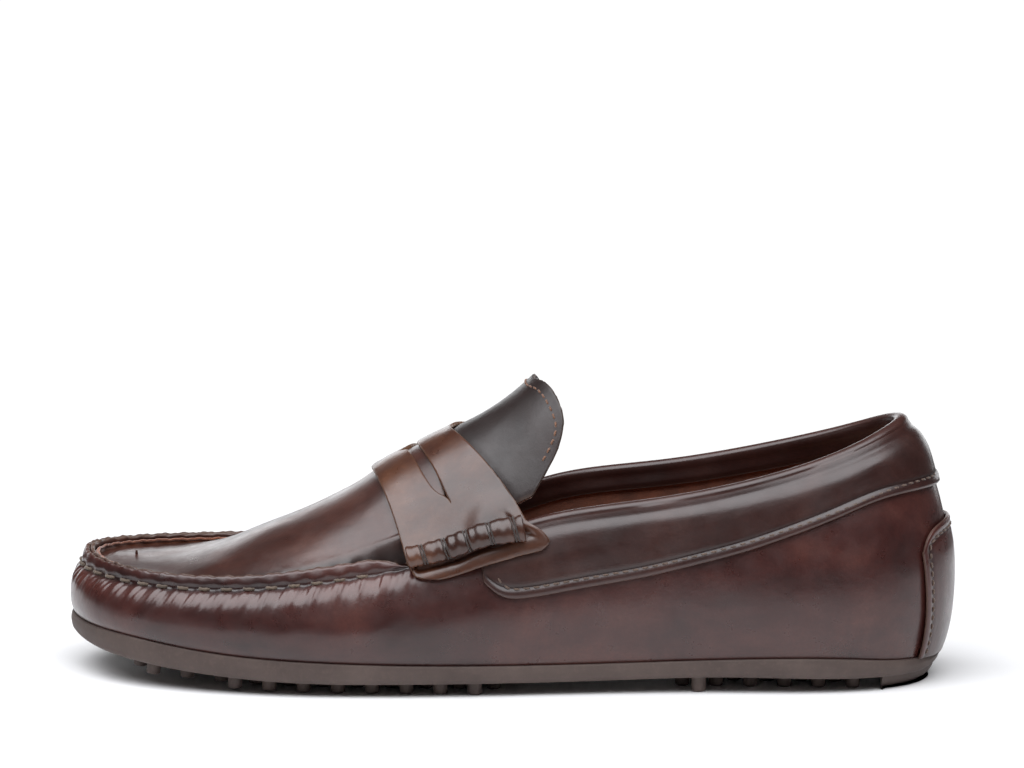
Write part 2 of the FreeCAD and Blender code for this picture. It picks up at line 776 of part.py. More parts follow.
def make_heel_patch():
    stations = spread(HEEL - PATCH_REACH, HEEL + PATCH_REACH, 31)
    return wall_patch(stations, lambda s: 0.015, patch_top, 2 * GAP + WRAP, 2 * GAP, 12)


def make_heel_patch_stitching():
    """Seam inside the patch's edge: up one side, across, and down the other."""
    face = GAP * 3 + WRAP
    margin = 0.17
    side = PATCH_REACH - margin
    strips = []
    for sign in (-1, 1):
        stations = [HEEL + sign * (side - 0.02), HEEL + sign * (side + 0.02)]
        strips.append(wall_patch(stations, lambda s: 0.05, lambda s: patch_top(s) - 0.05,
                                 face + 0.5, face, 12))
    across = spread(HEEL - side + 0.06, HEEL + side - 0.06, 21)
    strips.append(wall_patch(across, lambda s: patch_top(s) - 0.052, lambda s: patch_top(s) - 0.04,
                             face + 0.5, face, 3))
    return Part.makeCompound(strips)


def bottom_layers():
    """Heights of the layers under the foot, above the sole's underside."""
    board = SOLE_FLOOR + 2 * GAP + WRAP
    foam = board + BOARD + GAP
    sock = foam + FOAM + GAP
    return board, foam, sock


BOARD_LEVEL, FOAM_LEVEL, SOCK_LEVEL = bottom_layers()

PIECES = {
    "outsole": make_outsole,
    "forefoot_studs": lambda: make_studs(-150, 3),
    "heel_studs": lambda: make_studs(55, HEEL_BLOCK_START - 8),
    "moccasin_wrap": make_wrap,
    "apron": make_apron,
    "apron_lining": make_apron_lining,
    "apron_stitching": lambda: seam_strip(-3 * GAP - 0.9, -3 * GAP, -0.7, 0.7, 3, 5.3),
    "saddle_strap": make_strap,
    "beef_roll_lateral": lambda: make_roll(False),
    "beef_roll_medial": lambda: make_roll(True),
    "roll_thread_lateral": lambda: make_roll_threads(False),
    "roll_thread_medial": lambda: make_roll_threads(True),
    "tongue": lambda: make_tongue_layer(-WRAP, 0.0, 0.0),
    "tongue_lining": lambda: make_tongue_layer(-WRAP - GAP - LINING, -WRAP - GAP, 0.6),
    "tongue_stitching": make_tongue_stitching,
    "collar": make_collar,
    "collar_padding": make_collar_padding,
    "collar_stitching": make_collar_stitching,
    "vamp_lining": lambda: make_lining(-5.9, 5.9, front_lining_top),
    "quarter_lining_lateral": lambda: make_lining(6.0, 9.6, rear_lining_top),
    "quarter_lining_medial": lambda: make_lining(ROUND - 9.6, ROUND - 6.0, rear_lining_top),
    "heel_lining": lambda: make_lining(9.65, ROUND - 9.65, rear_lining_top),
    "heel_counter": make_counter,
    "insole_board": lambda: sole_layer(BOARD_LEVEL, BOARD_LEVEL + BOARD, WRAP + 0.5),
    "footbed_foam": lambda: sole_layer(FOAM_LEVEL, FOAM_LEVEL + FOAM, LINING_FACE + 0.4),
    "sock_liner": lambda: sole_layer(SOCK_LEVEL, SOCK_LEVEL + SOCK, LINING_FACE + 0.4),
    "heel_patch": make_heel_patch,
    "heel_patch_stitching": make_heel_patch_stitching,
}


def main():
    os.makedirs("parts", exist_ok=True)
    for name, make in PIECES.items():
        shape = make()
        shape.translate(Vector(-CENTRE_X, -CENTRE_Y, 0))
        shape.exportStep("parts/" + name + ".step")
        state = "valid" if all(solid.isValid() for solid in shape.Solids) else "NOT VALID"
        box = shape.BoundBox
        corners = (box.XMin, box.XMax, box.YMin, box.YMax, box.ZMin, box.ZMax)
        print(name, state, len(shape.Solids), "solids", round(shape.Volume), "mm3",
              [round(corner, 1) for corner in corners], flush=True)


if __name__ == "__main__":
    main()
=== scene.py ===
"""Looks of the driving moccasin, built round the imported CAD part.

Shape functions work in millimetres on the last that part.py also uses: stations s run round the
foot from the toe (0) by the lateral side to the heel (12) and on to the medial side (24).
"""

import math

import bpy
import numpy as np
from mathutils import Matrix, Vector
from mathutils.kdtree import KDTree


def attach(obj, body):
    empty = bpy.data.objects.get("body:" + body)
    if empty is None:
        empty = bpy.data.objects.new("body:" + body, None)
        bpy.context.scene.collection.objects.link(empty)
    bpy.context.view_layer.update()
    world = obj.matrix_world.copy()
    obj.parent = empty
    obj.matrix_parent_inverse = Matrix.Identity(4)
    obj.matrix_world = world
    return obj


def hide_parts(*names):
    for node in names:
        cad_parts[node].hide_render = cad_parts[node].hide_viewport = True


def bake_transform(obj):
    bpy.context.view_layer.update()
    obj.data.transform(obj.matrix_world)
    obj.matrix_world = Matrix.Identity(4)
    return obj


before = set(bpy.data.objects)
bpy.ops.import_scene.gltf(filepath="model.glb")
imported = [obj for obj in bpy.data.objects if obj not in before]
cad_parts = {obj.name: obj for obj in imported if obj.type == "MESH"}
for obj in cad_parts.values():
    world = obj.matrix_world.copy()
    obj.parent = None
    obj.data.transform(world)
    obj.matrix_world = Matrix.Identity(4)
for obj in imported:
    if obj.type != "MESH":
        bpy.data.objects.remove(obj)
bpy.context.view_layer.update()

# ---- sizes shared with the CAD part, in millimetres ---------------------------------------
WRAP = 1.5
LINING = 0.8
COUNTER = 0.7
OVERLAY = 1.2
STRAP = 1.4
GAP = 0.12
BOARD = 1.3
FOAM = 2.8
SOCK = 1.1
LINING_FACE = WRAP + 2 * GAP + COUNTER + LINING
STUD_HEIGHT = 4.2
STUD_RADIUS = 2.2
STUD_TAPER = 0.3
STUD_PITCH = 11.0
STUD_ROW = 9.2
STUD_MARGIN = 4.6
STUD_START = -141.0
STUD_REACH = 60.0
SOLE_FLOOR = 2.8
SOLE_LIP = 1.35
HEEL_BLOCK_START = 121.0
HEEL_HOLLOW = (112.0, -1.0, 22.0)
HEEL_ROUND = 5.6
HEEL_SETBACK = 1.6
HEEL_CURL = 1.7
HEEL_CURL_START = 132.5
RIDGE = 4.4
RIDGE_LEAN = 1.6
RIDGE_END = 5.45
COLLAR_START = 6.36
COLLAR_DROP = 7.0
COLLAR_CLEARANCE = 1.7
ROLL_CLEARANCE = 0.25
VAMP_END = 5.9
QUARTER_START = 6.0
QUARTER_END = 9.6
HEEL_LINING_START = 9.5
COUNTER_START = 9.3
PATCH_REACH = 1.12
PATCH_SEAM = 2.7
STATION_SIZE = 19.0
WALL_SIZE = 74.0
SHIFT = np.array([0.5, 1.7, 0.0])
MM = 0.001

# ---- seam details ---------------------------------------------------------------------------
SEAM_PITCH = 7.6
SEAM_STITCH = 4.7
SEAM_THREAD = 0.62
FINE_PITCH = 3.2
FINE_STITCH = 2.5
FINE_THREAD = 0.34

STATIONS = [
    (-144.4, 4.0, -142.6, 4.0, 34.6, 3.5, 3.0),
    (-141.6, -9.5, -139.2, -10.0, 34.2, 3.8, 3.6),
    (-131.5, -26.5, -128.0, -25.0, 33.6, 4.5, 4.8),
    (-112.0, -39.5, -108.0, -37.0, 33.0, 5.0, 6.0),
    (-82.0, -47.8, -80.0, -43.6, 33.9, 5.5, 7.0),
    (-48.0, -49.8, -49.0, -44.6, 37.8, 6.0, 7.5),
    (-14.0, -46.8, -18.0, -42.5, 44.8, 6.5, 7.0),
    (20.0, -41.5, 12.0, -39.0, 55.4, 7.5, 5.0),
    (58.0, -36.5, 48.0, -35.2, 61.0, 8.0, 4.5),
    (92.0, -35.0, 82.0, -30.2, 67.4, 8.5, 6.0),
    (118.0, -29.5, 107.5, -23.5, 75.0, 9.0, 10.0),
    (133.5, -17.0, 123.0, -12.6, 81.2, 9.0, 13.0),
    (139.2, 0.0, 128.6, 0.0, 83.8, 9.0, 14.4),
    (134.0, 16.5, 123.0, 12.4, 82.0, 9.0, 13.0),
    (119.0, 28.0, 107.5, 22.4, 76.4, 9.0, 10.0),
    (93.0, 31.5, 82.0, 28.4, 69.6, 8.5, 6.0),
    (60.0, 29.0, 48.0, 31.4, 63.2, 8.5, 4.0),
    (26.0, 27.5, 13.0, 34.0, 57.6, 9.5, 4.0),
    (-8.0, 34.0, -17.0, 37.6, 46.0, 8.0, 6.0),
    (-44.0, 43.0, -48.0, 41.6, 38.4, 6.5, 7.0),
    (-78.0, 46.3, -78.0, 42.4, 34.6, 5.5, 6.5),
    (-108.0, 41.5, -106.0, 38.0, 34.0, 5.0, 5.6),
    (-129.0, 30.8, -126.5, 28.6, 34.6, 4.5, 4.6),
    (-140.5, 18.5, -138.4, 17.4, 34.8, 3.8, 3.6),
]
ROUND = len(STATIONS)
HEEL = 12.0
SOLE_TOP = [(-150, 17.9), (-128, 17.1), (-106, 14.6), (-84, 12.5), (-56, 11.2), (-20, 10.3),
            (20, 10.1), (60, 10.8), (88, 11.5), (112, 10.9), (130, 9.2), (146, 8.2)]
CROWN = [(-143, 34.6), (-136, 35.8), (-120, 36.2), (-105, 38.0), (-94, 41.4), (-82, 46.6),
         (-71, 51.0), (-60, 56.2), (-50, 62.0), (-40, 68.8), (-29, 74.6), (-18, 80.4), (-8, 86.0),
         (2, 93.0), (8, 98.6), (22, 112.0)]
COLLAR_EDGE = [(-8, 44.0), (-5, 38.6), (0, 33.2), (6, 32.2), (18, 33.9), (31, 36.1), (47, 38.8),
               (63, 42.4), (79, 46.4), (94, 51.1), (110, 56.7), (126, 62.0), (141, 63.6)]
TONGUE_EDGE = [(-1.0, 9.0), (-0.88, 15.8), (-0.78, 18.4), (-0.65, 17.3), (-0.5, 14.4), (-0.35, 11.4),
               (-0.2, 8.6), (0.0, 7.4), (0.2, 7.7), (0.35, 8.3), (0.5, 9.3), (0.65, 10.6), (0.78, 11.4),
               (0.88, 10.4), (1.0, 8.0)]


# ---- numbers --------------------------------------------------------------------------------
def natural(xs, ys):
    """Natural cubic spline through points, as a function; ys may have several columns."""
    xs, ys = np.asarray(xs, float), np.asarray(ys, float)
    count = len(xs)
    step = np.diff(xs)
    matrix, right = np.eye(count), np.zeros(ys.shape)
    for i in range(1, count - 1):
        matrix[i, i - 1:i + 2] = step[i - 1], 2 * (step[i - 1] + step[i]), step[i]
        right[i] = 6 * ((ys[i + 1] - ys[i]) / step[i] - (ys[i] - ys[i - 1]) / step[i - 1])
    bend = np.linalg.solve(matrix, right)

    def curve(x):
        x = np.asarray(x, float)
        i = np.clip(np.searchsorted(xs, x, "right") - 1, 0, count - 2)
        a, b, h = xs[i + 1] - x, x - xs[i], step[i]
        if ys.ndim > 1:
            a, b, h = a[..., None], b[..., None], h[..., None]
        return ((bend[i] * a ** 3 + bend[i + 1] * b ** 3) / (6 * h)
                + (ys[i] / h - bend[i] * h / 6) * a + (ys[i + 1] / h - bend[i + 1] * h / 6) * b)
    return curve


def bell(x, centre, width):
    """A bell curve: 1 at the centre, and 0.37 at width from it."""
    return np.exp(-((x - centre) / width) ** 2)


def smooth(x):
    """Ease from 0 to 1 as x goes from 0 to 1."""
    x = np.clip(x, 0.0, 1.0)
    return x * x * (3 - 2 * x)


def unit(vectors):
    return vectors / np.maximum(np.linalg.norm(vectors, axis=-1, keepdims=True), 1e-9)


def solve(function, target, low, high, rounds=30):
    """Where a monotonic function of an array has the target values, element by element."""
    target = np.asarray(target, float)
    low, high = (np.broadcast_to(end, target.shape).astype(float) for end in (low, high))
    rising = function(high) > function(low)
    for _ in range(rounds):
        middle = (low + high) / 2
        above = (function(middle) > target) == rising
        low, high = np.where(above, low, middle), np.where(above, middle, high)
    return (low + high) / 2


def spaced(low, high, step, ends=0.0, fine=0.25):
    """Positions from low to high, step apart, with finer ones within ends of both ends."""
    count = max(int(math.ceil(abs(high - low) / step)), 2)
    places = np.linspace(low, high, count + 1)
    if ends > 0:
        sign = 1 if high > low else -1
        near = np.arange(0.0, ends, fine) * sign
        middle = places[(np.abs(places - low) > ends) & (np.abs(places - high) > ends)]
        places = np.concatenate([low + near, middle, (high - near)[::-1]])
    return places


_waves = np.random.default_rng(7)
_WAVE_SETS = [(unit(_waves.normal(size=(9, 3))) * _waves.uniform(0.6, 1.5, (9, 1)),
               _waves.uniform(0, 2 * math.pi, 9)) for _ in range(8)]


def ripple(points, size, which=0):
    """Smooth noise from -1 to 1 with bumps of about that size."""
    directions, phases = _WAVE_SETS[which % len(_WAVE_SETS)]
    angle = points @ directions.T * (2 * math.pi / size) + phases
    return np.sin(angle).mean(-1) * 1.9


# ---- the last -------------------------------------------------------------------------------
PAD = 4
_ring = natural(np.arange(-PAD, ROUND + PAD + 1),
                np.array([STATIONS[i % ROUND] for i in range(-PAD, ROUND + PAD + 1)]))
sole_top = natural(*zip(*SOLE_TOP))
crown = natural(*zip(*CROWN))
collar_edge = natural(*zip(*COLLAR_EDGE))
tongue_edge = natural(*zip(*TONGUE_EDGE))


def ring(s):
    return _ring(np.mod(np.asarray(s, float), ROUND))


def sole_bottom(x):
    spring = 0.00088 * np.maximum(0.0, -50 - x) ** 2
    return STUD_HEIGHT + spring + bell(x, 72, 34)


def outward(s):
    """Unit plan vector that points out of the shoe at station s."""
    turn = ring(s + 1e-3) - ring(s - 1e-3)
    tx, ty = turn[..., 0] + turn[..., 2], turn[..., 1] + turn[..., 3]
    size = np.hypot(tx, ty)
    return ty / size, -tx / size


def wall_base(s, v):
    s, v = np.broadcast_arrays(np.asarray(s, float), np.asarray(v, float))
    fx, fy, rx, ry, rz, low, high = np.moveaxis(ring(s), -1, 0)
    nx, ny = outward(s)
    fz = sole_top(fx) - 0.6
    rise = rz - fz
    corners = ((fx, fy, fz), (fx + nx * low, fy + ny * low, fz + 0.27 * rise),
               (rx + nx * high, ry + ny * high, rz - 0.24 * rise), (rx, ry, rz))
    u = 1 - v
    weights = (u ** 3, 3 * u * u * v, 3 * u * v * v, v ** 3)
    return sum(np.stack(corner, -1) * weight[..., None] for corner, weight in zip(corners, weights))


def wall(s, v, depth=0.0):
    """A point on the wall (v = 0 at the sole, 1 at the rim), moved out by depth."""
    s, v, depth = np.broadcast_arrays(*[np.asarray(a, float) for a in (s, v, depth)])
    step = 1e-3
    along = wall_base(s + step, v) - wall_base(s - step, v)
    up = wall_base(s, np.minimum(v + step, 1.0)) - wall_base(s, np.maximum(v - step, 0.0))
    return wall_base(s, v) + unit(np.cross(along, up)) * depth[..., None]


def wall_station(x, v, medial):
    low = np.where(medial, HEEL, 0.0) + 1e-4
    return solve(lambda s: wall_base(s, v)[..., 0], x, low, low + HEEL - 2e-4)


def height_share(s, z):
    """The v on station s where the wall is at height z."""
    return solve(lambda v: wall_base(s, v)[..., 2], z, 0.0, 1.0)


_lateral = np.linspace(1e-4, HEEL - 1e-4, 2400)
_medial = np.linspace(ROUND - 1e-4, HEEL + 1e-4, 2400)
_rims = [ring(_lateral)[:, 2:5], ring(_medial)[:, 2:5]]


def rims(x):
    """The rim's y and z at x, lateral then medial."""
    return tuple(np.interp(x, side[:, 0], side[:, k]) for side in _rims for k in (1, 2))


def arch_height(x, y):
    """Height of the apron, instep or tongue leather above a plan point."""
    yl, zl, ym, zm = rims(np.maximum(x, -142.4))
    t = (y - (yl + ym) / 2) / ((ym - yl) / 2)
    share = (np.clip(t, -1, 1) + 1) / 2
    edge = zl * (1 - share) + zm * share
    return edge + (crown(x) - (zl + zm) / 2) * (1 - np.minimum(np.abs(t), 1.25) ** 2.15)


def arch(x, t, depth=0.0):
    """A point on the arch of the foot: t = -1 at the lateral rim, 1 at the medial rim."""
    x, t, depth = np.broadcast_arrays(*[np.asarray(a, float) for a in (x, t, depth)])
    yl, _, ym, _ = rims(x)
    y = (yl + ym) / 2 + t * (ym - yl) / 2
    step = 0.05
    slope_x = (arch_height(x + step, y) - arch_height(x - step, y)) / (2 * step)
    slope_y = (arch_height(x, y + step) - arch_height(x, y - step)) / (2 * step)
    normal = unit(np.stack([-slope_x, -slope_y, np.ones_like(x)], -1))
    return np.stack([x, y, arch_height(x, y)], -1) + normal * depth[..., None]


def girth(x, t, depth=0.0):
    """Over the foot and down its sides: |t| from 0 at the crown to 1 at the rim, then down the wall."""
    x, t, depth = np.broadcast_arrays(*[np.asarray(a, float) for a in (x, t, depth)])
    v = np.clip(2 - np.abs(t), 0.0, 1.0)
    side = wall(wall_station(x, v, t > 0), v, depth)
    return np.where((np.abs(t) <= 1)[..., None], arch(x, np.clip(t, -1, 1), depth), side)


_arc_stations = np.linspace(-HEEL, ROUND, 7201)
_arc_steps = np.linalg.norm(np.diff(ring(_arc_stations)[:, 2:5], axis=0), axis=1)
_arcs = np.concatenate([[0], np.cumsum(_arc_steps)])
_arcs -= np.interp(0.0, _arc_stations, _arcs)


def rim_arc(s):
    """Length along the rim from the middle of the toe."""
    return np.interp(s, _arc_stations, _arcs)


def stations(start, end, step, ends=0.0):
    """Stations evenly spaced along the rim."""
    return np.interp(spaced(rim_arc(start), rim_arc(end), step, ends), _arcs, _arc_stations)


def from_toe(s):
    """Stations counted from the toe, the same on both sides."""
    s = np.mod(s, ROUND)
    return np.minimum(s, ROUND - s)


# ---- meshes ---------------------------------------------------------------------------------
def grid_faces(rows, cols, loop=False):
    index = np.arange(rows * cols).reshape(rows, cols)
    if loop:
        index = np.concatenate([index, index[:1]])
    return np.stack([index[:-1, :-1], index[1:, :-1], index[1:, 1:], index[:-1, 1:]], -1).reshape(-1, 4)


def tube_faces(*shape):
    """Faces along tubes whose points are counted by shape: (tubes,) rings and sides."""
    index = np.arange(math.prod(shape)).reshape(shape)
    turned = np.roll(index, -1, -1)
    corners = [index[..., :-1, :], turned[..., :-1, :], turned[..., 1:, :], index[..., 1:, :]]
    return np.stack(corners, -1).reshape(-1, 4)


def weld(points, faces, shade):
    """Merge points that lie in the same place, and drop faces that vanish."""
    _, first, where = np.unique(np.round(points, 3), axis=0, return_index=True, return_inverse=True)
    faces = where.reshape(-1)[faces]
    different = (faces != np.roll(faces, 1, 1)).sum(1)
    crossed = (faces[:, 0] == faces[:, 2]) | (faces[:, 1] == faces[:, 3])
    return points[first], faces[(different >= 3) & ~crossed], shade[first]


def vertex_normals(points, faces):
    a, b, c, d = (points[faces[:, k]] for k in range(4))
    face = np.cross(c - a, d - b)
    total = np.zeros_like(points)
    for k in range(4):
        np.add.at(total, faces[:, k], face)
    return unit(total)


def open_edges(faces):
    """Edges that only one face has, in that face's order."""
    pairs = np.concatenate([faces[:, [k, (k + 1) % 4]] for k in range(4)])
    pairs = pairs[pairs[:, 0] != pairs[:, 1]]
    _, where, count = np.unique(np.sort(pairs, 1), axis=0, return_inverse=True, return_counts=True)
    return pairs[count[where.reshape(-1)] == 1]


class Form:
    """Points, faces and shading marks of one piece, gathered from several closed parts."""

    def __init__(self):
        self.points, self.faces, self.raw, self.shade, self.count = [], [], [], [], 0

    def add(self, points, faces, raw=None, shade=None):
        self.points.append(points)
        self.faces.append(faces + self.count)
        self.raw.append(np.zeros(len(points)) if raw is None else raw)
        self.shade.append(np.zeros(len(points)) if shade is None else shade)
        self.count += len(points)
        return self

    def solid(self, points, faces):
        """Adds a closed surface, turned so that it faces outwards."""
        points, faces, _ = weld(points, faces, np.zeros(len(points)))
        a, b, c, d = (points[faces[:, k]] - points.mean(0) for k in range(4))
        volume = (np.cross(a, b) * c).sum() + (np.cross(a, c) * d).sum()
        return self.add(points, faces if volume > 0 else faces[:, ::-1])

    def shell(self, patches, thickness, ease=0.5, cut=0.5, shade=None, flip=False, fray=0.0, loop=False):
        """Adds a sheet whose seen face is the given grid or grids, eased at its edges."""
        patches = patches if isinstance(patches, list) else [patches]
        points = np.concatenate([p.reshape(-1, 3) for p in patches])
        faces, start = [], 0
        for p in patches:
            faces.append(grid_faces(p.shape[0], p.shape[1], loop) + start)
            start += p.shape[0] * p.shape[1]
        faces = np.concatenate(faces)
        shade = np.zeros(len(points)) if shade is None else np.concatenate(
            [np.asarray(a, float).reshape(-1) for a in (shade if isinstance(shade, list) else [shade])])
        points, faces, shade = weld(points, faces, shade)
        if flip:
            faces = faces[:, ::-1]
        normals = vertex_normals(points, faces)
        edges = open_edges(faces)
        border = np.unique(edges)
        away = np.full(len(points), 1e3)
        if len(border):
            tree = KDTree(len(border))
            for k, i in enumerate(border):
                tree.insert(points[i], k)
            tree.balance()
            away = np.array([tree.find(p)[2] for p in points])
        share = cut + (1 - cut) * np.sqrt(1 - (1 - np.minimum(away / ease, 1)) ** 2)
        middle = points - normals * thickness / 2
        if fray:
            middle = middle + fray * np.exp(-away[:, None]) * np.stack(
                [ripple(points, 1.3, k) for k in (1, 2, 3)], -1)
        outer = middle + normals * (thickness / 2 * share)[:, None]
        inner = middle - normals * (thickness / 2 * share)[:, None]
        count = len(points)
        sides = np.stack([edges[:, 1], edges[:, 0], edges[:, 0] + count, edges[:, 1] + count], -1)
        raw = np.clip(1 - away / 0.35, 0, 1)
        faces = np.concatenate([faces, faces[:, ::-1] + count, sides])
        return self.add(np.concatenate([outer, inner]), faces, np.concatenate([raw * 0.6, raw]),
                        np.concatenate([shade, shade * 0]))

    def piece(self, name, material, slot, body="shoe", nodes=(), flat=40):
        """Makes the Blender object, in metres, riding on its body."""
        points = (np.concatenate(self.points) + SHIFT) * MM
        rows = np.concatenate(self.faces)
        faces = [tuple(dict.fromkeys(row)) for row in rows.tolist()]
        mesh = bpy.data.meshes.new(name)
        mesh.from_pydata(points.tolist(), [], faces)
        mesh.validate()
        for attribute, values in (("raw", self.raw), ("shade", self.shade)):
            layer = mesh.attributes.new(attribute, "FLOAT", "POINT")
            layer.data.foreach_set("value", np.concatenate(values).astype(np.float32))
        mesh.polygons.foreach_set("use_smooth", np.ones(len(mesh.polygons), bool))
        mesh.set_sharp_from_angle(angle=math.radians(flat))
        mesh.materials.append(material)
        obj = bpy.data.objects.new(name, mesh)
        bpy.context.scene.collection.objects.link(obj)
        if body:
            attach(obj, body)
        if nodes:
            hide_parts(*nodes)
        return obj


def sewn(form, line, normals, pitch, length, radius, lift=0.55, skew=0.0, lay=1.5, sides=8, start=0.5):
    """Adds a row of stitches along a line of points on a surface: each one an arched, twisted thread."""
    gaps = np.linalg.norm(np.diff(line, axis=0), axis=1)
    along = np.concatenate([[0], np.cumsum(gaps)])
    count = int((along[-1] - length) / pitch - start) + 1
    if count < 1:
        return form
    samples = 9
    share = np.linspace(0, 1, samples)
    centres = (start + np.arange(count)) * pitch + length / 2
    places = centres[:, None] + (share - 0.5)[None] * length
    path = np.stack([np.interp(places, along, line[:, k]) for k in range(3)], -1)
    up = unit(np.stack([np.interp(places, along, normals[:, k]) for k in range(3)], -1))
    ahead = unit(np.gradient(path, axis=1))
    side = np.cross(ahead, up)
    arch_up = radius * (lift - 1.9 * np.abs(2 * share - 1) ** 3.2)
    path = path + up * arch_up[None, :, None] + side * (skew * radius * (share - 0.5))[None, :, None]
    angles = 2 * math.pi * np.arange(sides) / sides
    taper = np.sqrt(np.maximum(1 - np.abs(2 * share - 1) ** 5, 0))
    twist = 1 + 0.13 * np.cos(2 * angles[None, None, :] - 2 * math.pi * places[:, :, None] / lay)
    size = radius * taper[None, :, None] * twist
    points = (path[:, :, None] + up[:, :, None] * (size * np.cos(angles))[..., None]
              + side[:, :, None] * (size * np.sin(angles))[..., None])
    return form.solid(points.reshape(-1, 3), tube_faces(count, samples, sides))


def surface_line(place):
    """Points on a surface and its normals there; place(k) moves k mm out of the surface."""
    low, high = place(0.0), place(1.0)
    return low, unit(high - low)


# ---- materials ------------------------------------------------------------------------------
class Recipe:
    """A node material: a Principled shader and the textures that feed it."""

    def __init__(self, name, **sockets):
        self.material = bpy.data.materials.new(name)
        self.material.use_nodes = True
        self.tree = self.material.node_tree
        self.shader = next(n for n in self.tree.nodes if n.type == "BSDF_PRINCIPLED")
        for socket, value in sockets.items():
            self.shader.inputs[socket.replace("_", " ")].default_value = value
        self.place = self.add("ShaderNodeTexCoord").outputs["Object"]

    def add(self, kind, inputs=None, **settings):
        node = self.tree.nodes.new(kind)
        for key, value in settings.items():
            setattr(node, key, value)
        for key, value in (inputs or {}).items():
            if isinstance(value, bpy.types.NodeSocket):
                self.tree.links.new(value, node.inputs[key])
            else:
                node.inputs[key].default_value = value
        return node

    def stretched(self, x, y, z):
        return self.add("ShaderNodeMapping", {"Vector": self.place, "Scale": (x, y, z)}).outputs[0]

    def noise(self, size, detail=3.0, rough=0.55, twist=0.0, vector=None):
        """Noise with features of about that size in millimetres."""
        inputs = {"Vector": vector or self.place, "Scale": 1000 / size, "Detail": detail, "Roughness": rough,
                  "Distortion": twist}
        return self.add("ShaderNodeTexNoise", inputs).outputs["Fac"]

    def cells(self, size, feature="F1", vector=None):
        return self.add("ShaderNodeTexVoronoi", {"Vector": vector or self.place, "Scale": 1000 / size},
                        feature=feature).outputs["Distance"]

    def mark(self, name):
        return self.add("ShaderNodeAttribute", attribute_name=name).outputs["Fac"]

    def curve(self, value, low, high, start=0.0, end=1.0):
        return self.add("ShaderNodeMapRange", {"Value": value, "From Min": low, "From Max": high,
                                               "To Min": start, "To Max": end}).outputs["Result"]

    def math(self, operation, a, b):
        return self.add("ShaderNodeMath", {0: a, 1: b}, operation=operation).outputs[0]

    def ramp(self, value, *stops):
        node = self.add("ShaderNodeValToRGB", {"Fac": value})
        elements = node.color_ramp.elements
        while len(elements) < len(stops):
            elements.new(0.5)
        for element, (position, colour) in zip(elements, stops):
            element.position, element.color = position, (*colour, 1)
        return node.outputs["Color"]

    def mix(self, share, a, b, blend="MIX"):
        node = self.add("ShaderNodeMix", data_type="RGBA", blend_type=blend)
        for key, value in ((0, share), (6, a), (7, b)):
            if isinstance(value, bpy.types.NodeSocket):
                self.tree.links.new(value, node.inputs[key])
            else:
                node.inputs[key].default_value = value if key == 0 else (*value, 1)
        return node.outputs[2]

    def bump(self, height, distance, strength=1.0, below=None):
        inputs = {"Height": height, "Distance": distance * MM, "Strength": strength}
        if below is not None:
            inputs["Normal"] = below
        return self.add("ShaderNodeBump", inputs).outputs["Normal"]

    def finish(self, colour, rough=None, normal=None):
        for socket, value in (("Base Color", colour), ("Roughness", rough), ("Normal", normal)):
            if value is not None:
                self.tree.links.new(value, self.shader.inputs[socket])
        return self.material


def leather(name, dark, mid, light, edge, gloss=0.34, coat=0.35, mottle=30.0):
    """Waxed pull-up leather: cloudy colour, fine pores and creases, paler at cut edges; the shade mark paints
    highlights and shade into it.
    """
    r = Recipe(name, Coat_Weight=coat, Coat_Roughness=0.24, Specular_IOR_Level=0.45)
    cloud = r.noise(mottle, 4, 0.6, 0.6)
    streak = r.noise(mottle * 0.5, 3, 0.6, 0.3, r.stretched(0.35, 1.0, 1.0))
    colour = r.ramp(r.math("ADD", r.math("MULTIPLY", cloud, 0.65), r.math("MULTIPLY", streak, 0.35)),
                    (0.34, dark), (0.5, mid), (0.68, light))
    pores = r.cells(0.7)
    specks = r.noise(1.1, 2, 0.7)
    colour = r.mix(r.curve(specks, 0.3, 0.75, 0.0, 0.35), colour, dark)
    # The shade mark paints light into the colour: above 0 a painted highlight (paler), below 0 painted shade
    # (darker).
    shade = r.mark("shade")
    colour = r.mix(r.curve(shade, 0.0, 1.0), colour, tuple(min(1, 1.5 * c) for c in light))
    colour = r.mix(r.curve(shade, 0.0, -1.0), colour, tuple(0.22 * c for c in dark))
    raw = r.mark("raw")
    fuzz = r.math("MULTIPLY", raw, r.curve(r.noise(0.8), 0.35, 0.6, 0.55, 1.0))
    colour = r.mix(fuzz, colour, edge)
    rough = r.math("ADD", r.curve(r.noise(9, 4, 0.65), 0.3, 0.7, gloss - 0.07, gloss + 0.1),
                   r.math("MULTIPLY", raw, 0.4))
    creases = r.noise(2.4, 4, 0.62, 0.8)
    normal = r.bump(r.noise(14, 3), 0.5, 0.35)
    normal = r.bump(creases, 0.11, 0.55, normal)
    normal = r.bump(r.curve(pores, 0.0, 0.5), 0.02, 0.4, normal)
    return r.finish(colour, rough, normal)


def suede(name, dark, light, nap=0.5):
    r = Recipe(name, Sheen_Weight=0.5, Sheen_Roughness=0.6, Specular_IOR_Level=0.2)
    fibres = r.noise(nap, 4, 0.75, 0.4)
    clouds = r.noise(11, 3, 0.6)
    colour = r.ramp(r.math("ADD", r.math("MULTIPLY", fibres, 0.45), r.math("MULTIPLY", clouds, 0.55)),
                    (0.36, dark), (0.66, light))
    colour = r.mix(r.mark("raw"), colour, tuple(0.8 * c for c in light))
    rough = r.curve(fibres, 0.3, 0.7, 0.82, 0.98)
    normal = r.bump(fibres, 0.22, 0.8, r.bump(r.noise(3.2, 3), 0.25, 0.5))
    return r.finish(colour, rough, normal)


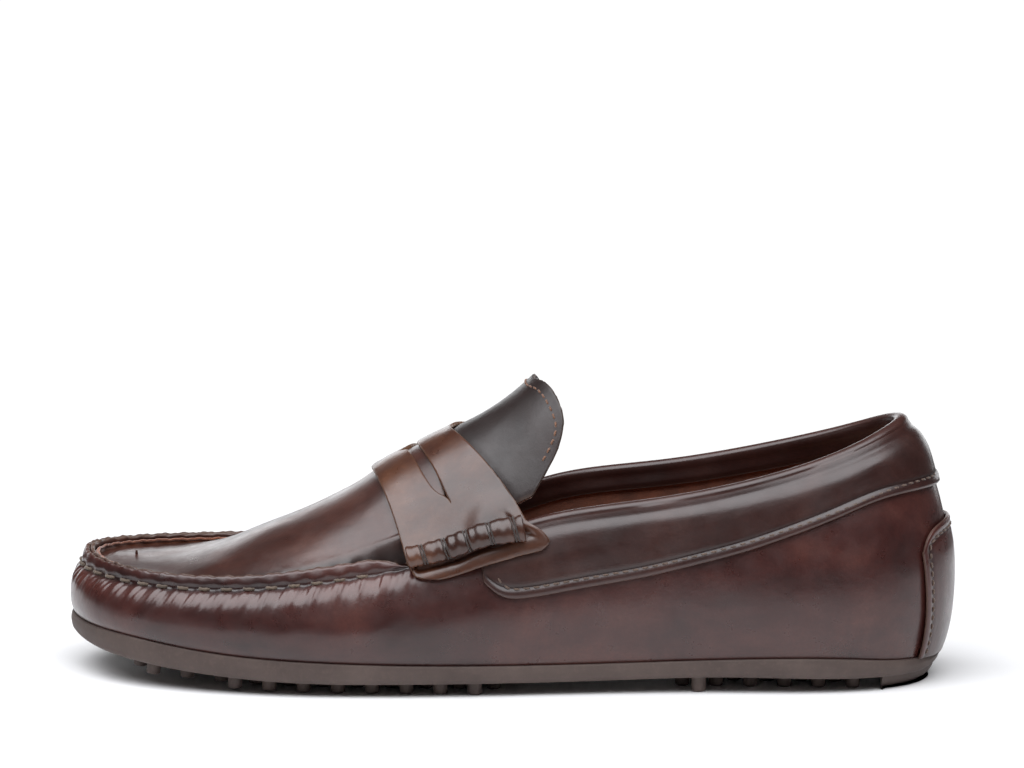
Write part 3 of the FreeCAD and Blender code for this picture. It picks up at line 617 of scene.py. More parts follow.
def rubber(name, dark, light):
    r = Recipe(name, Specular_IOR_Level=0.4)
    clouds = r.noise(18, 3, 0.6)
    dust = r.noise(1.6, 4, 0.7)
    colour = r.mix(r.curve(dust, 0.5, 0.8, 0.0, 0.4), r.ramp(clouds, (0.3, dark), (0.7, light)),
                   tuple(min(1, 1.5 * c) for c in light))
    rough = r.curve(dust, 0.3, 0.7, 0.55, 0.72)
    normal = r.bump(r.noise(0.6, 3, 0.6), 0.04, 0.6, r.bump(r.noise(6, 2), 0.12, 0.3))
    return r.finish(colour, rough, normal)


def thread(name, dark, light):
    r = Recipe(name, Specular_IOR_Level=0.4, Sheen_Weight=0.3)
    strands = r.noise(0.5, 3, 0.7, 0.5)
    colour = r.ramp(r.math("ADD", r.math("MULTIPLY", strands, 0.6), r.math("MULTIPLY", r.noise(9), 0.4)),
                    (0.35, dark), (0.65, light))
    rough = r.curve(strands, 0.3, 0.7, 0.5, 0.75)
    return r.finish(colour, rough, r.bump(strands, 0.12, 0.8))


def fibrous(name, dark, light, size, depth):
    """Foam and board: small cells or pressed fibres."""
    r = Recipe(name, Specular_IOR_Level=0.2)
    grain = r.noise(size, 4, 0.7)
    cells = r.cells(size * 1.6)
    colour = r.ramp(grain, (0.3, dark), (0.7, light))
    return r.finish(colour, r.curve(grain, 0.3, 0.7, 0.8, 0.95), r.bump(cells, depth, 0.8))


def make_materials():
    tan = (0.16, 0.075, 0.035)
    return {
        "wrap": leather("wrap_waxed_leather", (0.018, 0.0045, 0.004), (0.044, 0.0115, 0.0095),
                        (0.080, 0.025, 0.019), (0.10, 0.058, 0.040), 0.31, 0.40),
        "apron": leather("apron_waxed_leather", (0.024, 0.008, 0.006), (0.050, 0.016, 0.011),
                         (0.095, 0.036, 0.025), (0.10, 0.058, 0.040), 0.34, 0.35),
        "strap": leather("strap_waxed_leather", (0.024, 0.008, 0.005), (0.056, 0.018, 0.009),
                         (0.12, 0.046, 0.022), tan, 0.31, 0.40, 24),
        "tongue": leather("tongue_dark_leather", (0.009, 0.0045, 0.004), (0.017, 0.009, 0.008),
                          (0.032, 0.017, 0.015), (0.075, 0.042, 0.028), 0.42, 0.12),
        "collar": leather("collar_soft_leather", (0.014, 0.0045, 0.0035), (0.030, 0.0095, 0.0075),
                          (0.055, 0.020, 0.015), (0.085, 0.045, 0.03), 0.35, 0.35),
        "smooth": leather("smooth_lining_leather", (0.14, 0.045, 0.018), (0.25, 0.085, 0.038),
                          (0.36, 0.14, 0.065), (0.22, 0.09, 0.04), 0.5, 0.1),
        "suede": suede("rust_suede", (0.11, 0.030, 0.011), (0.27, 0.080, 0.032)),
        "rubber": rubber("taupe_rubber", (0.058, 0.040, 0.035), (0.094, 0.067, 0.058)),
        "seam_thread": thread("olive_waxed_thread", (0.045, 0.030, 0.020), (0.15, 0.105, 0.072)),
        "dark_thread": thread("dark_waxed_thread", (0.010, 0.006, 0.005), (0.035, 0.020, 0.014)),
        "fine_thread": thread("tan_machine_thread", (0.045, 0.026, 0.018), (0.13, 0.080, 0.056)),
        "rust_thread": thread("rust_machine_thread", (0.090, 0.038, 0.018), (0.22, 0.10, 0.055)),
        "foam": fibrous("soft_foam", (0.22, 0.19, 0.15), (0.36, 0.32, 0.26), 0.8, 0.12),
        "board": fibrous("fibre_board", (0.16, 0.11, 0.07), (0.28, 0.20, 0.13), 0.6, 0.05),
    }


# ---- sole -----------------------------------------------------------------------------------
def foot_plan(s, offset):
    """Plan point on the sole's edge, moved out by offset."""
    values = ring(s)
    nx, ny = outward(s)
    return values[..., 0] + nx * offset, values[..., 1] + ny * offset


def make_outsole(form):
    """Cup sole: one closed section swept round the foot, with a crescent block under the heel."""
    s = stations(-HEEL, HEEL, 1.2)[:-1]
    low_round, high_round = 1.7, 0.6
    section = []
    for inset in (60.0, 40.0, 30.0, 20.0, 12.0, 7.0, 4.0, 2.6):
        section.append((-inset, "bottom", 0.0))
    for angle in np.radians([0, 20, 40, 60, 80]):
        section.append((SOLE_LIP - low_round * (1 - math.sin(angle)), "bottom",
                        low_round * (1 - math.cos(angle))))
    for share in (0.0, 0.2, 0.4, 0.6, 0.8, 1.0):
        section.append((SOLE_LIP + 0.25 * math.sin(math.pi * share), "between", share))
    for angle in np.radians([15, 35, 55, 75, 90]):
        section.append((SOLE_LIP - high_round * (1 - math.cos(angle)), "top",
                        high_round * (math.sin(angle) - 1)))
    section += [(0.35, "top", 0.0), (0.12, "top", -0.35), (0.1, "top", -2.5), (0.1, "floor", 0.6),
                (-0.6, "floor", 0.0)]
    for inset in (4.0, 10.0, 20.0, 30.0, 40.0, 60.0):
        section.append((-inset, "floor", 0.0))
    rows = []
    for offset, level, height in section:
        inset = max(-offset, 0.0)
        x, y = foot_plan(s, offset) if inset < 3 else pulled_in(s, inset)
        curl = 0.0 if level == "floor" else HEEL_CURL * np.clip((x - HEEL_CURL_START) / 8.5, 0, 1) ** 1.6
        bottom = sole_bottom(x) + curl
        if level == "bottom":
            z = bottom + height
        elif level == "between":
            z = bottom + low_round + (sole_top(x) - high_round - bottom - low_round) * height
        elif level == "top":
            z = sole_top(x) + height
        else:
            z = bottom + SOLE_FLOOR + height
        rows.append(np.stack([x, y, z], -1))
    grid = np.stack(rows, 1)
    form.solid(grid.reshape(-1, 3), grid_faces(*grid.shape[:2], True))
    heel_block(form)
    return form


def pulled_in(s, inset):
    """Plan point drawn from the sole's edge towards the middle line of the foot."""
    x, y = foot_plan(s, 0.0)
    spine_x = np.clip(x, -104.0, 112.0)
    spine_x = (spine_x + np.roll(spine_x[::-1], 1)) / 2
    yl, _, ym, _ = rims(spine_x)
    dx, dy = spine_x - x, (yl + ym) / 2 - y
    share = np.minimum(inset / np.maximum(np.hypot(dx, dy), 1e-6), 1.0)
    return x + dx * share, y + dy * share


def heel_block(form):
    """Solid rubber crescent under the back of the heel, rounded up at its outer edge."""
    cx, cy, radius = HEEL_HOLLOW
    rim = np.stack(foot_plan(stations(8.5, 15.5, 1.0), SOLE_LIP), -1) - (cx, cy)
    bearing, reach = np.arctan2(rim[:, 1], rim[:, 0]), np.hypot(rim[:, 0], rim[:, 1])
    order = np.argsort(bearing)
    front = HEEL_BLOCK_START - cx
    angles = np.radians(np.linspace(-70, 70, 113))
    outer = np.interp(angles, bearing[order], reach[order])
    inner = np.minimum(np.maximum(radius, front / np.cos(angles)), outer - 0.4)
    rows = []
    for angle, near, far in zip(angles, inner, outer):
        way = np.array([math.cos(angle), math.sin(angle)])
        ceiling = sole_bottom(cx + far * way[0]) + 1.4
        profile = [(near, ceiling), (near, 0.35), (near + 0.3, 0.0), ((near + far) / 2, 0.0)]
        for share in np.linspace(0.0, 1.0, 9) * math.pi / 2:
            profile.append((far - HEEL_ROUND * (1 - math.sin(share)) - HEEL_SETBACK,
                            (1 - math.cos(share)) * ceiling))
        radii = [min(max(r, near), far) for r, _ in profile]
        rows.append([(cx + r * way[0], cy + r * way[1], z) for r, (_, z) in zip(radii, profile)])
    capped(form, np.array(rows))


def capped(form, grid):
    """Adds a tube of sections (rows) with flat ends closed to their middles."""
    rows, cols = grid.shape[:2]
    first, last = grid[0].mean(0), grid[-1].mean(0)
    grid = np.concatenate([np.broadcast_to(first, (1, cols, 3)), grid, np.broadcast_to(last, (1, cols, 3))])
    form.solid(grid.reshape(-1, 3), tube_faces(rows + 2, cols)[:, [0, 3, 2, 1]])


def inside_outline(x, y, inset):
    edge = np.stack(foot_plan(np.arange(4 * ROUND) / 4, 0.0), -1)
    near = np.hypot(edge[:, 0] - x, edge[:, 1] - y).min()
    angle = np.arctan2(edge[:, 1] - y, edge[:, 0] - x)
    turns = np.angle(np.exp(1j * np.diff(np.append(angle, angle[0])))).sum()
    return near > inset and abs(turns) > math.pi


def make_studs(form, low_x, high_x):
    """Round studs with softened tips, in staggered rows."""
    sides = 28
    angles = 2 * math.pi * np.arange(sides) / sides
    row, y = 0, -STUD_REACH
    while y < STUD_REACH:
        x = STUD_START + (STUD_PITCH / 2 if row % 2 else 0.0)
        while x < high_x:
            if x > low_x and inside_outline(x, y, STUD_MARGIN):
                lean = float(sole_bottom(x + 0.5) - sole_bottom(x - 0.5)) if x < 0 else 0.0
                down = unit(np.array([lean, 0.0, -1.0]))
                across = unit(np.cross(down, (0.0, 1.0, 0.0)))
                other = np.cross(down, across)
                length = STUD_HEIGHT if x < 0 else float(sole_bottom(x))
                base = np.array([x, y, float(sole_bottom(x))])
                profile = [(-0.4, 0.0), (-0.4, 1.0), (0.0, 1.06), (0.25, 1.0), (0.8, 0.95),
                           (length - 0.7, 0.9), (length - 0.25, 0.83), (length - 0.05, 0.66),
                           (length, 0.45), (length, 0.0)]
                grid = np.array([[base + down * depth + (across * math.cos(a) + other * math.sin(a)) * share
                                  * (STUD_RADIUS + STUD_TAPER) for a in angles] for depth, share in profile])
                form.solid(grid.reshape(-1, 3), tube_faces(len(profile), sides))
            x += STUD_PITCH
        y += STUD_ROW
        row += 1
    return form


# ---- wrap and seam --------------------------------------------------------------------------
def ridge_height(s):
    """Height of the gathered edge above the rim."""
    toe = from_toe(s)
    arc = rim_arc(np.where(np.mod(s, ROUND) > HEEL, np.mod(s, ROUND) - ROUND, np.mod(s, ROUND)))
    shape = 4.0 + 1.0 * bell(toe, 0, 1.1) + 0.6 * bell(toe, 4.9, 0.8)
    return shape + 0.16 * np.cos(2 * math.pi * arc / SEAM_PITCH) + 0.12 * np.sin(arc * 1.9)


def ridge_share(s):
    return 1 - smooth((from_toe(s) - RIDGE_END + 0.25) / 0.5)


def lip_point(s, height, depth):
    """A point on the standing edge of the seam, above the rim."""
    values = ring(s)
    nx, ny = outward(s)
    inward = RIDGE_LEAN * height / RIDGE - depth
    return np.stack([values[..., 2] - nx * inward, values[..., 3] - ny * inward, values[..., 4] + height], -1)


def gather(s, below):
    """How far the gathered leather stands out, below mm under the seam (negative above it)."""
    signed = np.where(np.mod(s, ROUND) > HEEL, np.mod(s, ROUND) - ROUND, np.mod(s, ROUND))
    arc = rim_arc(signed)
    toe = from_toe(s)
    held = 1 - smooth((toe - 5.6) / 0.7)
    strength = 0.75 + 0.5 * bell(toe, 4.6, 1.0) + 0.2 * np.sin(arc / 17.0)
    bulge = 0.34 * np.cos(2 * math.pi * arc / SEAM_PITCH) * bell(np.maximum(below - 1.5, 0), 0, 4.0)
    slanted = arc + 0.35 * below
    pleats = (0.12 * np.sin(2 * math.pi * slanted / 2.3 + 1.5 * np.sin(arc / 5.0))
              + 0.10 * np.sin(2 * math.pi * slanted / 3.7 + 0.8 * np.sin(arc / 9.0)))
    window = bell(below, 3.6, 3.2)
    pinch = -0.55 * bell(below, 0, 1.3)
    swell = 0.55 * bell(below, 5.0, 3.6)
    return held * (strength * (bulge + pleats * window) + pinch + swell)


def wrap_top(s):
    """Where the wrap ends: the rim in front, under the collar's lower edge behind."""
    toe = from_toe(s)
    hidden = height_share(s, collar_edge(wall_base(s, 0.5)[..., 0]) + 8.0)
    return np.where(toe < 5.5, 1.0, 1 - smooth((toe - 5.8) / 1.1) * (1 - np.minimum(hidden, 0.97)))


def soft_dents(points, s):
    """The uneven surface of leather that was pulled over the last by hand."""
    flex = bell(from_toe(s), 5.0, 1.2)
    return 0.22 * ripple(points, 46, 0) + 0.07 * ripple(points, 17, 1) + 0.10 * flex * ripple(points, 9, 2)


def make_wrap(form):
    """The main leather: the walls with their gathered standing edge, and the bottom under the foot."""
    s = np.concatenate([stations(start, end, step)[:-1] for start, end, step in
                        ((-HEEL, -VAMP_END, 1.6), (-VAMP_END, VAMP_END, 0.55), (VAMP_END, HEEL, 1.6))])
    top = wrap_top(s)
    rear = smooth((from_toe(s) - 5.8) / 1.1)
    height = ring(s)[:, 4] - wall_base(s, 0.0)[:, 2]
    foot = wall(s, 0.0)
    columns, shades = [], []
    # Painted shade, fully dark, where the wrap runs down into the sole.
    for drop in (2.6, 1.7, 0.8):
        columns.append(foot - (0, 0, drop))
        shades.append(np.full(len(s), -1.0))
    for share in 1 - np.linspace(1, 0, 34) ** 1.25:
        v = top * share
        below = (1 - v) * height
        base = wall_base(s, v)
        depth = gather(s, below) + soft_dents(base, s) * smooth(v * 6) * smooth((1 - v) * 8)
        columns.append(wall(s, v, depth))
        # Painted highlight on the puckered band about 3.4 mm under the seam; painted shade in the pinched
        # groove right under it and at the wall's foot by the sole.
        shades.append(0.32 * bell(below, 3.4, 2.4) * (from_toe(s) < 5.8)
                      - 0.7 * bell(below, 0, 0.9) * (from_toe(s) < 5.6)
                      - 0.5 * bell(v * height, 0, 1.2))
    edge = wall(s, np.minimum(top, 0.96))
    tall = np.maximum(ridge_height(s) * ridge_share(s), 0.3)
    # The gathered edge gets painted shade at its base and a painted highlight along its top.
    for share in (0.1, 0.22, 0.36, 0.5, 0.64, 0.78, 0.9, 1.0):
        bow = 0.22 * math.sin(math.pi * share)
        lip = lip_point(s, tall * share, gather(s, -tall * share) * (1 - share) + bow)
        columns.append(lip * (1 - rear)[:, None] + (edge + (0, 0, 1.5 * share)) * rear[:, None])
        shades.append(np.full(len(s), 0.25 * share - 0.35 * (1 - share)))
    form.shell(np.stack(columns, 1), WRAP, 0.45, 0.62, np.stack(shades, 1), loop=True, fray=0.05)
    floor = SOLE_FLOOR + GAP + WRAP
    rows = [np.stack([*(foot_plan(s, -WRAP - 0.3) if inset < 2 else pulled_in(s, inset))], -1)
            for inset in (1.0, 8.0, 20.0, 60.0)]
    grid = np.stack([np.concatenate([row, (sole_bottom(row[:, 0]) + floor)[:, None]], 1) for row in rows], 1)
    return form.shell(grid, WRAP, 0.3, 0.8, loop=True)


def make_seam_stitches(form):
    """Thick hand stitches along the outside of the seam, and the ones that show inside it."""
    s = stations(-5.3, 5.3, 0.5)
    depth = gather(s, 0.0)
    outside, out = surface_line(lambda k: lip_point(s, -0.15, depth + k))
    sewn(form, outside, out, SEAM_PITCH, SEAM_STITCH, SEAM_THREAD, 0.75, 0.5, 2.1, 10, 0.12)
    inner = -(2 * WRAP + GAP)
    inside, back = surface_line(lambda k: lip_point(s, 0.9, inner - k))
    sewn(form, inside, back, SEAM_PITCH, SEAM_STITCH * 0.8, SEAM_THREAD * 0.85, 0.6, 0.5, 2.1, 10, 0.62)
    return form


def apron_grid(lower, trim):
    """Points over the forefoot, from the seam's inner lip to the crown and across, lowered by lower."""
    end = 6.0 - trim
    s = stations(0.0, end, 1.0)
    arcs = rim_arc(s) / rim_arc(end)
    tall = np.maximum(ridge_height(s) * ridge_share(s), 1.0) - 0.5
    inset_face = 2 * WRAP + GAP + lower
    halves = []
    for side in (1, -1):
        station = s * side
        values = ring(station)
        nx, ny = outward(station)
        valley = 0.15 + 0.5 * smooth((s - 2.2) / 2.2)
        wob = 0.2 * np.cos(2 * math.pi * rim_arc(s) / SEAM_PITCH + 2.0)
        crown_x = -124.0 + 99.0 * arcs ** 1.2
        yl, _, ym, _ = rims(crown_x)
        crown_y = (yl + ym) / 2

        def at(inset, height=None):
            x, y = values[:, 2] - nx * inset, values[:, 3] - ny * inset
            if height is None:
                height = arch_height(x, y) - values[:, 4] - lower * 1.15
            return x, y, values[:, 4] + height
        path = [at(RIDGE_LEAN * tall / RIDGE + inset_face, tall - lower),
                at(RIDGE_LEAN * 0.5 * tall / RIDGE + inset_face + 0.05 + wob, 0.5 * tall),
                at(inset_face + 0.55 + wob, valley * tall + 0.2)]
        path += [at(inset_face + reach) for reach in (1.9, 4.0, 7.0)]
        path[3][2][:] += 0.1
        path = [np.stack(place, -1) for place in path]
        path = np.stack(path, 1)
        knots = np.array([0.0, 1.8, 3.3, 5.0, 7.3, 10.4])
        curves = natural(knots, np.moveaxis(path, 1, 0).reshape(len(knots), -1))
        lip = curves(np.concatenate([np.linspace(0, 7.3, 16), [8.2, 9.2]])).reshape(18, len(s), 3)
        start = path[:, -1]
        rest = []
        for share in np.linspace(0.0, 1.0, 44):
            x = start[:, 0] + (crown_x - start[:, 0]) * share
            y = start[:, 1] + (crown_y - start[:, 1]) * share
            z = arch_height(x, y) - lower * 1.15
            rest.append(np.stack([x, y, z], -1))
        grid = np.concatenate([np.moveaxis(lip, 0, 1), np.stack(rest, 1)], 1)
        halves.append(grid if side > 0 else grid[::-1])
    return halves


def make_apron(form):
    """The plug over the forefoot, its edge turned up inside the wrap's gathered edge."""
    patches, shades = [], []
    for grid in apron_grid(0.0, 0.0):
        dents = (0.20 * ripple(grid, 38, 3) + 0.07 * ripple(grid, 13, 4))
        calm = smooth((np.arange(grid.shape[1]) - 14) / 10)[None, :]
        grid = grid + np.array([0, 0, 1.0]) * (dents * calm)[..., None]
        patches.append(grid)
        row = np.arange(grid.shape[1])
        # Painted shade in the valley of the lip, where it turns up inside the wrap's gathered edge.
        shades.append(np.broadcast_to(-0.8 * bell(row, 8, 3.5), grid.shape[:2]))
    return form.shell(patches, WRAP - 0.1, 0.4, 0.62, shades, fray=0.05)


def make_apron_lining(form):
    return form.shell(apron_grid(WRAP + GAP, 0.05), LINING, 0.3, 0.6)


# ---- saddle strap and rolls -------------------------------------------------------------------
TAB_END = 1.22


def strap_front(t):
    """Front edge of the strap, with the tab's rounded corner at its end."""
    t = np.abs(t)
    corner = 7.0 * np.maximum((t - TAB_END + 0.1) / 0.1, 0.0) ** 2.2
    return -44.6 + 14.6 * np.minimum(t, 1.0) ** 1.5 + 16.0 * np.maximum(t - 1, 0) + corner


def strap_rear(t):
    """Rear edge of the strap, swept back along the tab to its rear corner."""
    t = np.abs(t)
    past = np.maximum(t - 1, 0)
    corner = 4.0 * np.maximum((t - TAB_END + 0.07) / 0.07, 0.0) ** 2.5
    return -19.0 + 27.4 * np.minimum(t, 1.0) ** 1.65 + 60.0 * past - 110.0 * past ** 2 - corner


SLOT_HALF, SLOT_WIDTH, SLOT_NOTCH = 30.0, 3.6, 2.6


def slot_lines(t):
    """Front and rear edges of the show slot along the strap; they meet beyond its ends."""
    yl, _, ym, _ = rims(-30.0)
    reach = SLOT_HALF / ((ym - yl) / 2)
    share = np.minimum(np.abs(t) / reach, 1.0)
    low, high = strap_front(reach), strap_rear(reach)
    rear_share = (-18.5 - low) / (high - low)
    beyond = strap_front(t) + rear_share * (strap_rear(t) - strap_front(t))
    rear = np.where(share < 1, -30.0 + 11.5 * share ** 1.45, beyond)
    bow = SLOT_WIDTH * np.sqrt(np.maximum(1 - share ** 8, 0.0)) * (0.92 + 0.12 * share)
    notch = SLOT_NOTCH * np.maximum(1 - share * SLOT_HALF / 4.2, 0.0)
    return rear - bow - notch, rear


def strap_relief(t, x):
    """Height added to the strap: the puffy rolled border of the tab under and behind each roll."""
    t = np.abs(t)
    below = (TAB_END - t) * 27.0
    behind = strap_rear(t) - x
    ahead = x - strap_front(t)
    border = np.where(t > 1.0, np.minimum(below, ahead + 1.2), 99.0)
    border = np.minimum(border, np.where(t > 0.93, behind * 0.8, 99.0))
    puff = 0.95 * np.sqrt(np.clip(1 - ((border - 1.5) / 1.7) ** 2, 0, 1))
    groove = -0.45 * bell(border, 3.6, 0.5)
    return smooth((t - 0.91) / 0.08) * (puff + groove)


def strap_lift(x, t):
    """How far the strap rises to pass over the front of the collar."""
    over = smooth((x + 15.0) / 10.0)
    rim = 0.9 * bell(np.abs(t), 0.98, 0.18)
    edge = 0.6 * bell(np.abs(t), 1.0, 0.09)
    return over * (COLLAR_CLEARANCE * smooth((np.abs(t) - 0.78) / 0.13) + rim) + edge


def make_strap(form):
    """Saddle strap over the instep with its slot, and a bordered tab at each end."""
    t = np.concatenate([np.linspace(-TAB_END, -0.9, 50)[:-1], np.linspace(-0.9, 0.9, 190)[:-1],
                        np.linspace(0.9, TAB_END, 50)])
    front, rear = strap_front(t), strap_rear(t)
    slot_front, slot_rear = slot_lines(t)
    patches, shades = [], []
    ease = np.array([0, 0.018, 0.05, 0.1])
    share = np.concatenate([ease, np.linspace(0.15, 0.85, 18), 1 - ease[::-1]])
    for start, end in ((front, slot_front), (slot_rear, rear)):
        x = start[:, None] + (end - start)[:, None] * share
        tt = np.broadcast_to(t[:, None], x.shape)
        relief = strap_relief(tt, x)
        base = girth(x, tt, GAP + STRAP)
        edge_lift = 0.25 * bell(x, strap_front(tt), 1.6) * (np.abs(tt) < 1)
        rise = relief + edge_lift + strap_lift(x, tt) + 0.12 * ripple(base, 16, 5)
        grid = girth(x, tt, GAP + STRAP + rise)
        grid = relaxed(grid, 6)
        patches.append(grid)
        # Painted highlight on the raised border of the tabs; painted shade in its groove and along the
        # strap's front edge.
        shades.append(0.12 * np.clip(relief, -1, 1) - 0.2 * bell(x, strap_front(tt), 1.2))
    return form.shell(patches, STRAP, 0.35, 0.62, shades, flip=True, fray=0.05)


def relaxed(grid, rounds):
    """The grid with its kinks along the first direction eased."""
    for _ in range(rounds):
        inner = (grid[:-2] + 2 * grid[1:-1] + grid[2:]) / 4
        grid = np.concatenate([grid[:1], inner, grid[-1:]])
    return grid


def roll_track(medial):
    """Along a roll's seat: the points, and the ways out of the foot, across the roll and along it."""
    knots = np.linspace(0.0, 1.0, 4)
    sign = 1 if medial else -1
    x = -29.5 + 36.5 * knots
    z = 42.8 + 9.4 * knots + (0.9 if medial else 0.0)
    t = solve(lambda u: girth(x, sign * u)[..., 2], z, 0.55, 1.35, 24)
    face = girth(x, sign * t, GAP + STRAP + strap_lift(x, t))
    places = np.linspace(-0.04, 1.04, 55)
    seat = natural(knots, face)(places)
    away = unit(natural(knots, unit(face - girth(x, sign * t, 0.0)))(places))
    ahead = unit(np.gradient(seat, axis=0))
    return places, (seat, away, unit(np.cross(ahead, away)), ahead)


_tracks = {}


def roll_frame(share, medial):
    if medial not in _tracks:
        _tracks[medial] = roll_track(medial)
    places, columns = _tracks[medial]
    return tuple(np.stack([np.interp(share, places, column[:, k]) for k in range(3)], -1)
                 for column in columns)


ROLL_THREADS = [0.13 + 0.2 * k for k in range(5)]


def roll_points(share, angles, medial, grow):
    """Points round the roll at each share of its length; grow makes it fatter."""
    seat, away, across, _ = roll_frame(share, medial)
    half = 3.3 + 0.9 * share + grow
    thick = 2.3 + 0.3 * share
    centre = seat + away * (thick + ROLL_CLEARANCE)[:, None]
    return (centre[:, None] + across[:, None] * (half[:, None] * np.sin(angles))[..., None]
            + away[:, None] * ((thick + grow)[:, None] * np.cos(angles))[..., None])


def make_roll(form, medial):
    """Rolled leather bound down by pairs of thread, squeezed where they pass."""
    share = np.linspace(0.0, 1.0, 130)
    angles = 2 * math.pi * np.arange(44) / 44
    pinch = sum(bell(share, place, 0.022) for place in ROLL_THREADS)
    grow = 0.22 - 0.62 * pinch + 0.12 * np.sin(share * 71.0)
    grow[:3] += 0.15
    grid = roll_points(share, angles, medial, grow)
    centre = grid.mean(1, keepdims=True)
    ahead = roll_frame(share[[0, -1]], medial)[3]
    caps = []
    for end, way in ((0, -1), (-1, 1)):
        rings = [(0.93, 0.22), (0.8, 0.30), (0.62, 0.12), (0.4, 0.2), (0.15, 0.12)]
        caps.append([centre[end] + (grid[end] - centre[end]) * size + ahead[end] * way * out
                     for size, out in rings])
    grid = np.concatenate([np.array(caps[0][::-1]), grid, np.array(caps[1])])
    capped(form, grid if medial else grid[:, ::-1])
    return form


def make_roll_threads(form, medial):
    """The doubled hand stitches that bind the roll."""
    angles = np.linspace(-1.9, 1.9, 40)
    for place in ROLL_THREADS:
        for offset in (-0.0125, 0.0125):
            share = place + offset + 0.012 * np.sin(angles)
            path = np.stack([roll_points(np.array([p]), np.array([a]), medial, np.array([-0.12]))[0, 0]
                             for p, a in zip(share, angles)])
            seat, away, _, _ = roll_frame(share, medial)
            middle = seat + away * 2.4
            strand(form, path, unit(path - middle), 0.27)
    return form


def strand(form, path, up, radius, sides=8):
    """One thread along a path, its ends tucked in."""
    ahead = unit(np.gradient(path, axis=0))
    side = np.cross(ahead, up)
    share = np.linspace(0, 1, len(path))
    taper = np.sqrt(np.maximum(1 - np.abs(2 * share - 1) ** 14, 0))
    angles = 2 * math.pi * np.arange(sides) / sides
    size = radius * taper[:, None] * np.ones(sides)
    points = (path[:, None] + up[:, None] * (size * np.cos(angles))[..., None]
              + side[:, None] * (size * np.sin(angles))[..., None])
    form.solid(points.reshape(-1, 3), tube_faces(len(path), sides))


# ---- tongue -----------------------------------------------------------------------------------
TONGUE_REACH = 0.9
TUCK = 3.2


def tongue_wave(x, t):
    """The tongue's soft waves, which start behind the strap."""
    base = arch(x, t)
    return (0.35 * ripple(base, 42, 6) + 0.10 * ripple(base, 15, 2)) * smooth((x - strap_rear(t)) / 8.0)


def tongue_grid(depth, inset):
    t = np.linspace(-TONGUE_REACH, TONGUE_REACH, 121)
    start = strap_rear(t) - TUCK
    end = np.maximum(tongue_edge(t / TONGUE_REACH) - inset, strap_rear(t) + 1.2)
    share = np.concatenate([[0, 0.04, 0.08], np.linspace(0.13, 0.95, 34), [0.975, 0.99, 1.0]])
    x = start[:, None] + (end - start)[:, None] * share
    tt = np.broadcast_to(t[:, None], x.shape)
    tucked = 0.42 * (1 - smooth((x - strap_rear(tt) + 1.0) / 3.0))
    return arch(x, tt, depth - tucked + tongue_wave(x, tt))


def make_tongue(form):
    return form.shell(tongue_grid(0.0, 0.0), WRAP, 0.4, 0.6, flip=True, fray=0.12)


def make_tongue_lining(form):
    return form.shell(tongue_grid(-WRAP - GAP - LINING, 0.5), LINING, 0.3, 0.6, fray=0.1)


def make_tongue_stitches(form):
    t = np.linspace(-0.8, 0.8, 400)
    edge = tongue_edge(t / TONGUE_REACH)
    slope = np.gradient(edge, t) / 34.0
    x = edge - 2.3 * np.sqrt(1 + slope ** 2)
    wave = tongue_wave(x, t)
    line, out = surface_line(lambda k: arch(x, t, wave + k))
    return sewn(form, line, out, 3.0, 2.35, FINE_THREAD, 0.5, 0.4, 1.1)


# ---- collar -----------------------------------------------------------------------------------
def squeeze(v):
    """How far the layers at the topline are pressed together, from 1 below it to 0.7."""
    return 1 - 0.3 * smooth((v - 0.86) / 0.14)


def collar_low(s):
    return height_share(s, collar_edge(wall_base(s, 0.5)[..., 0]) + np.where(s < HEEL, 0.0, 1.0))


def collar_relief(above, below):
    """Folded lower edge, the groove of its seam and the soft padding above it."""
    fold = 0.28 * bell(above, 1.3, 1.1)
    groove = -0.28 * bell(above, 3.0, 0.55)
    pillow = 0.75 * smooth((above - 3.2) / 8.0) * smooth((below - 1.0) / 7.0)
    topline = -0.30 * bell(below, 3.3, 1.2)
    return fold + groove + pillow + topline


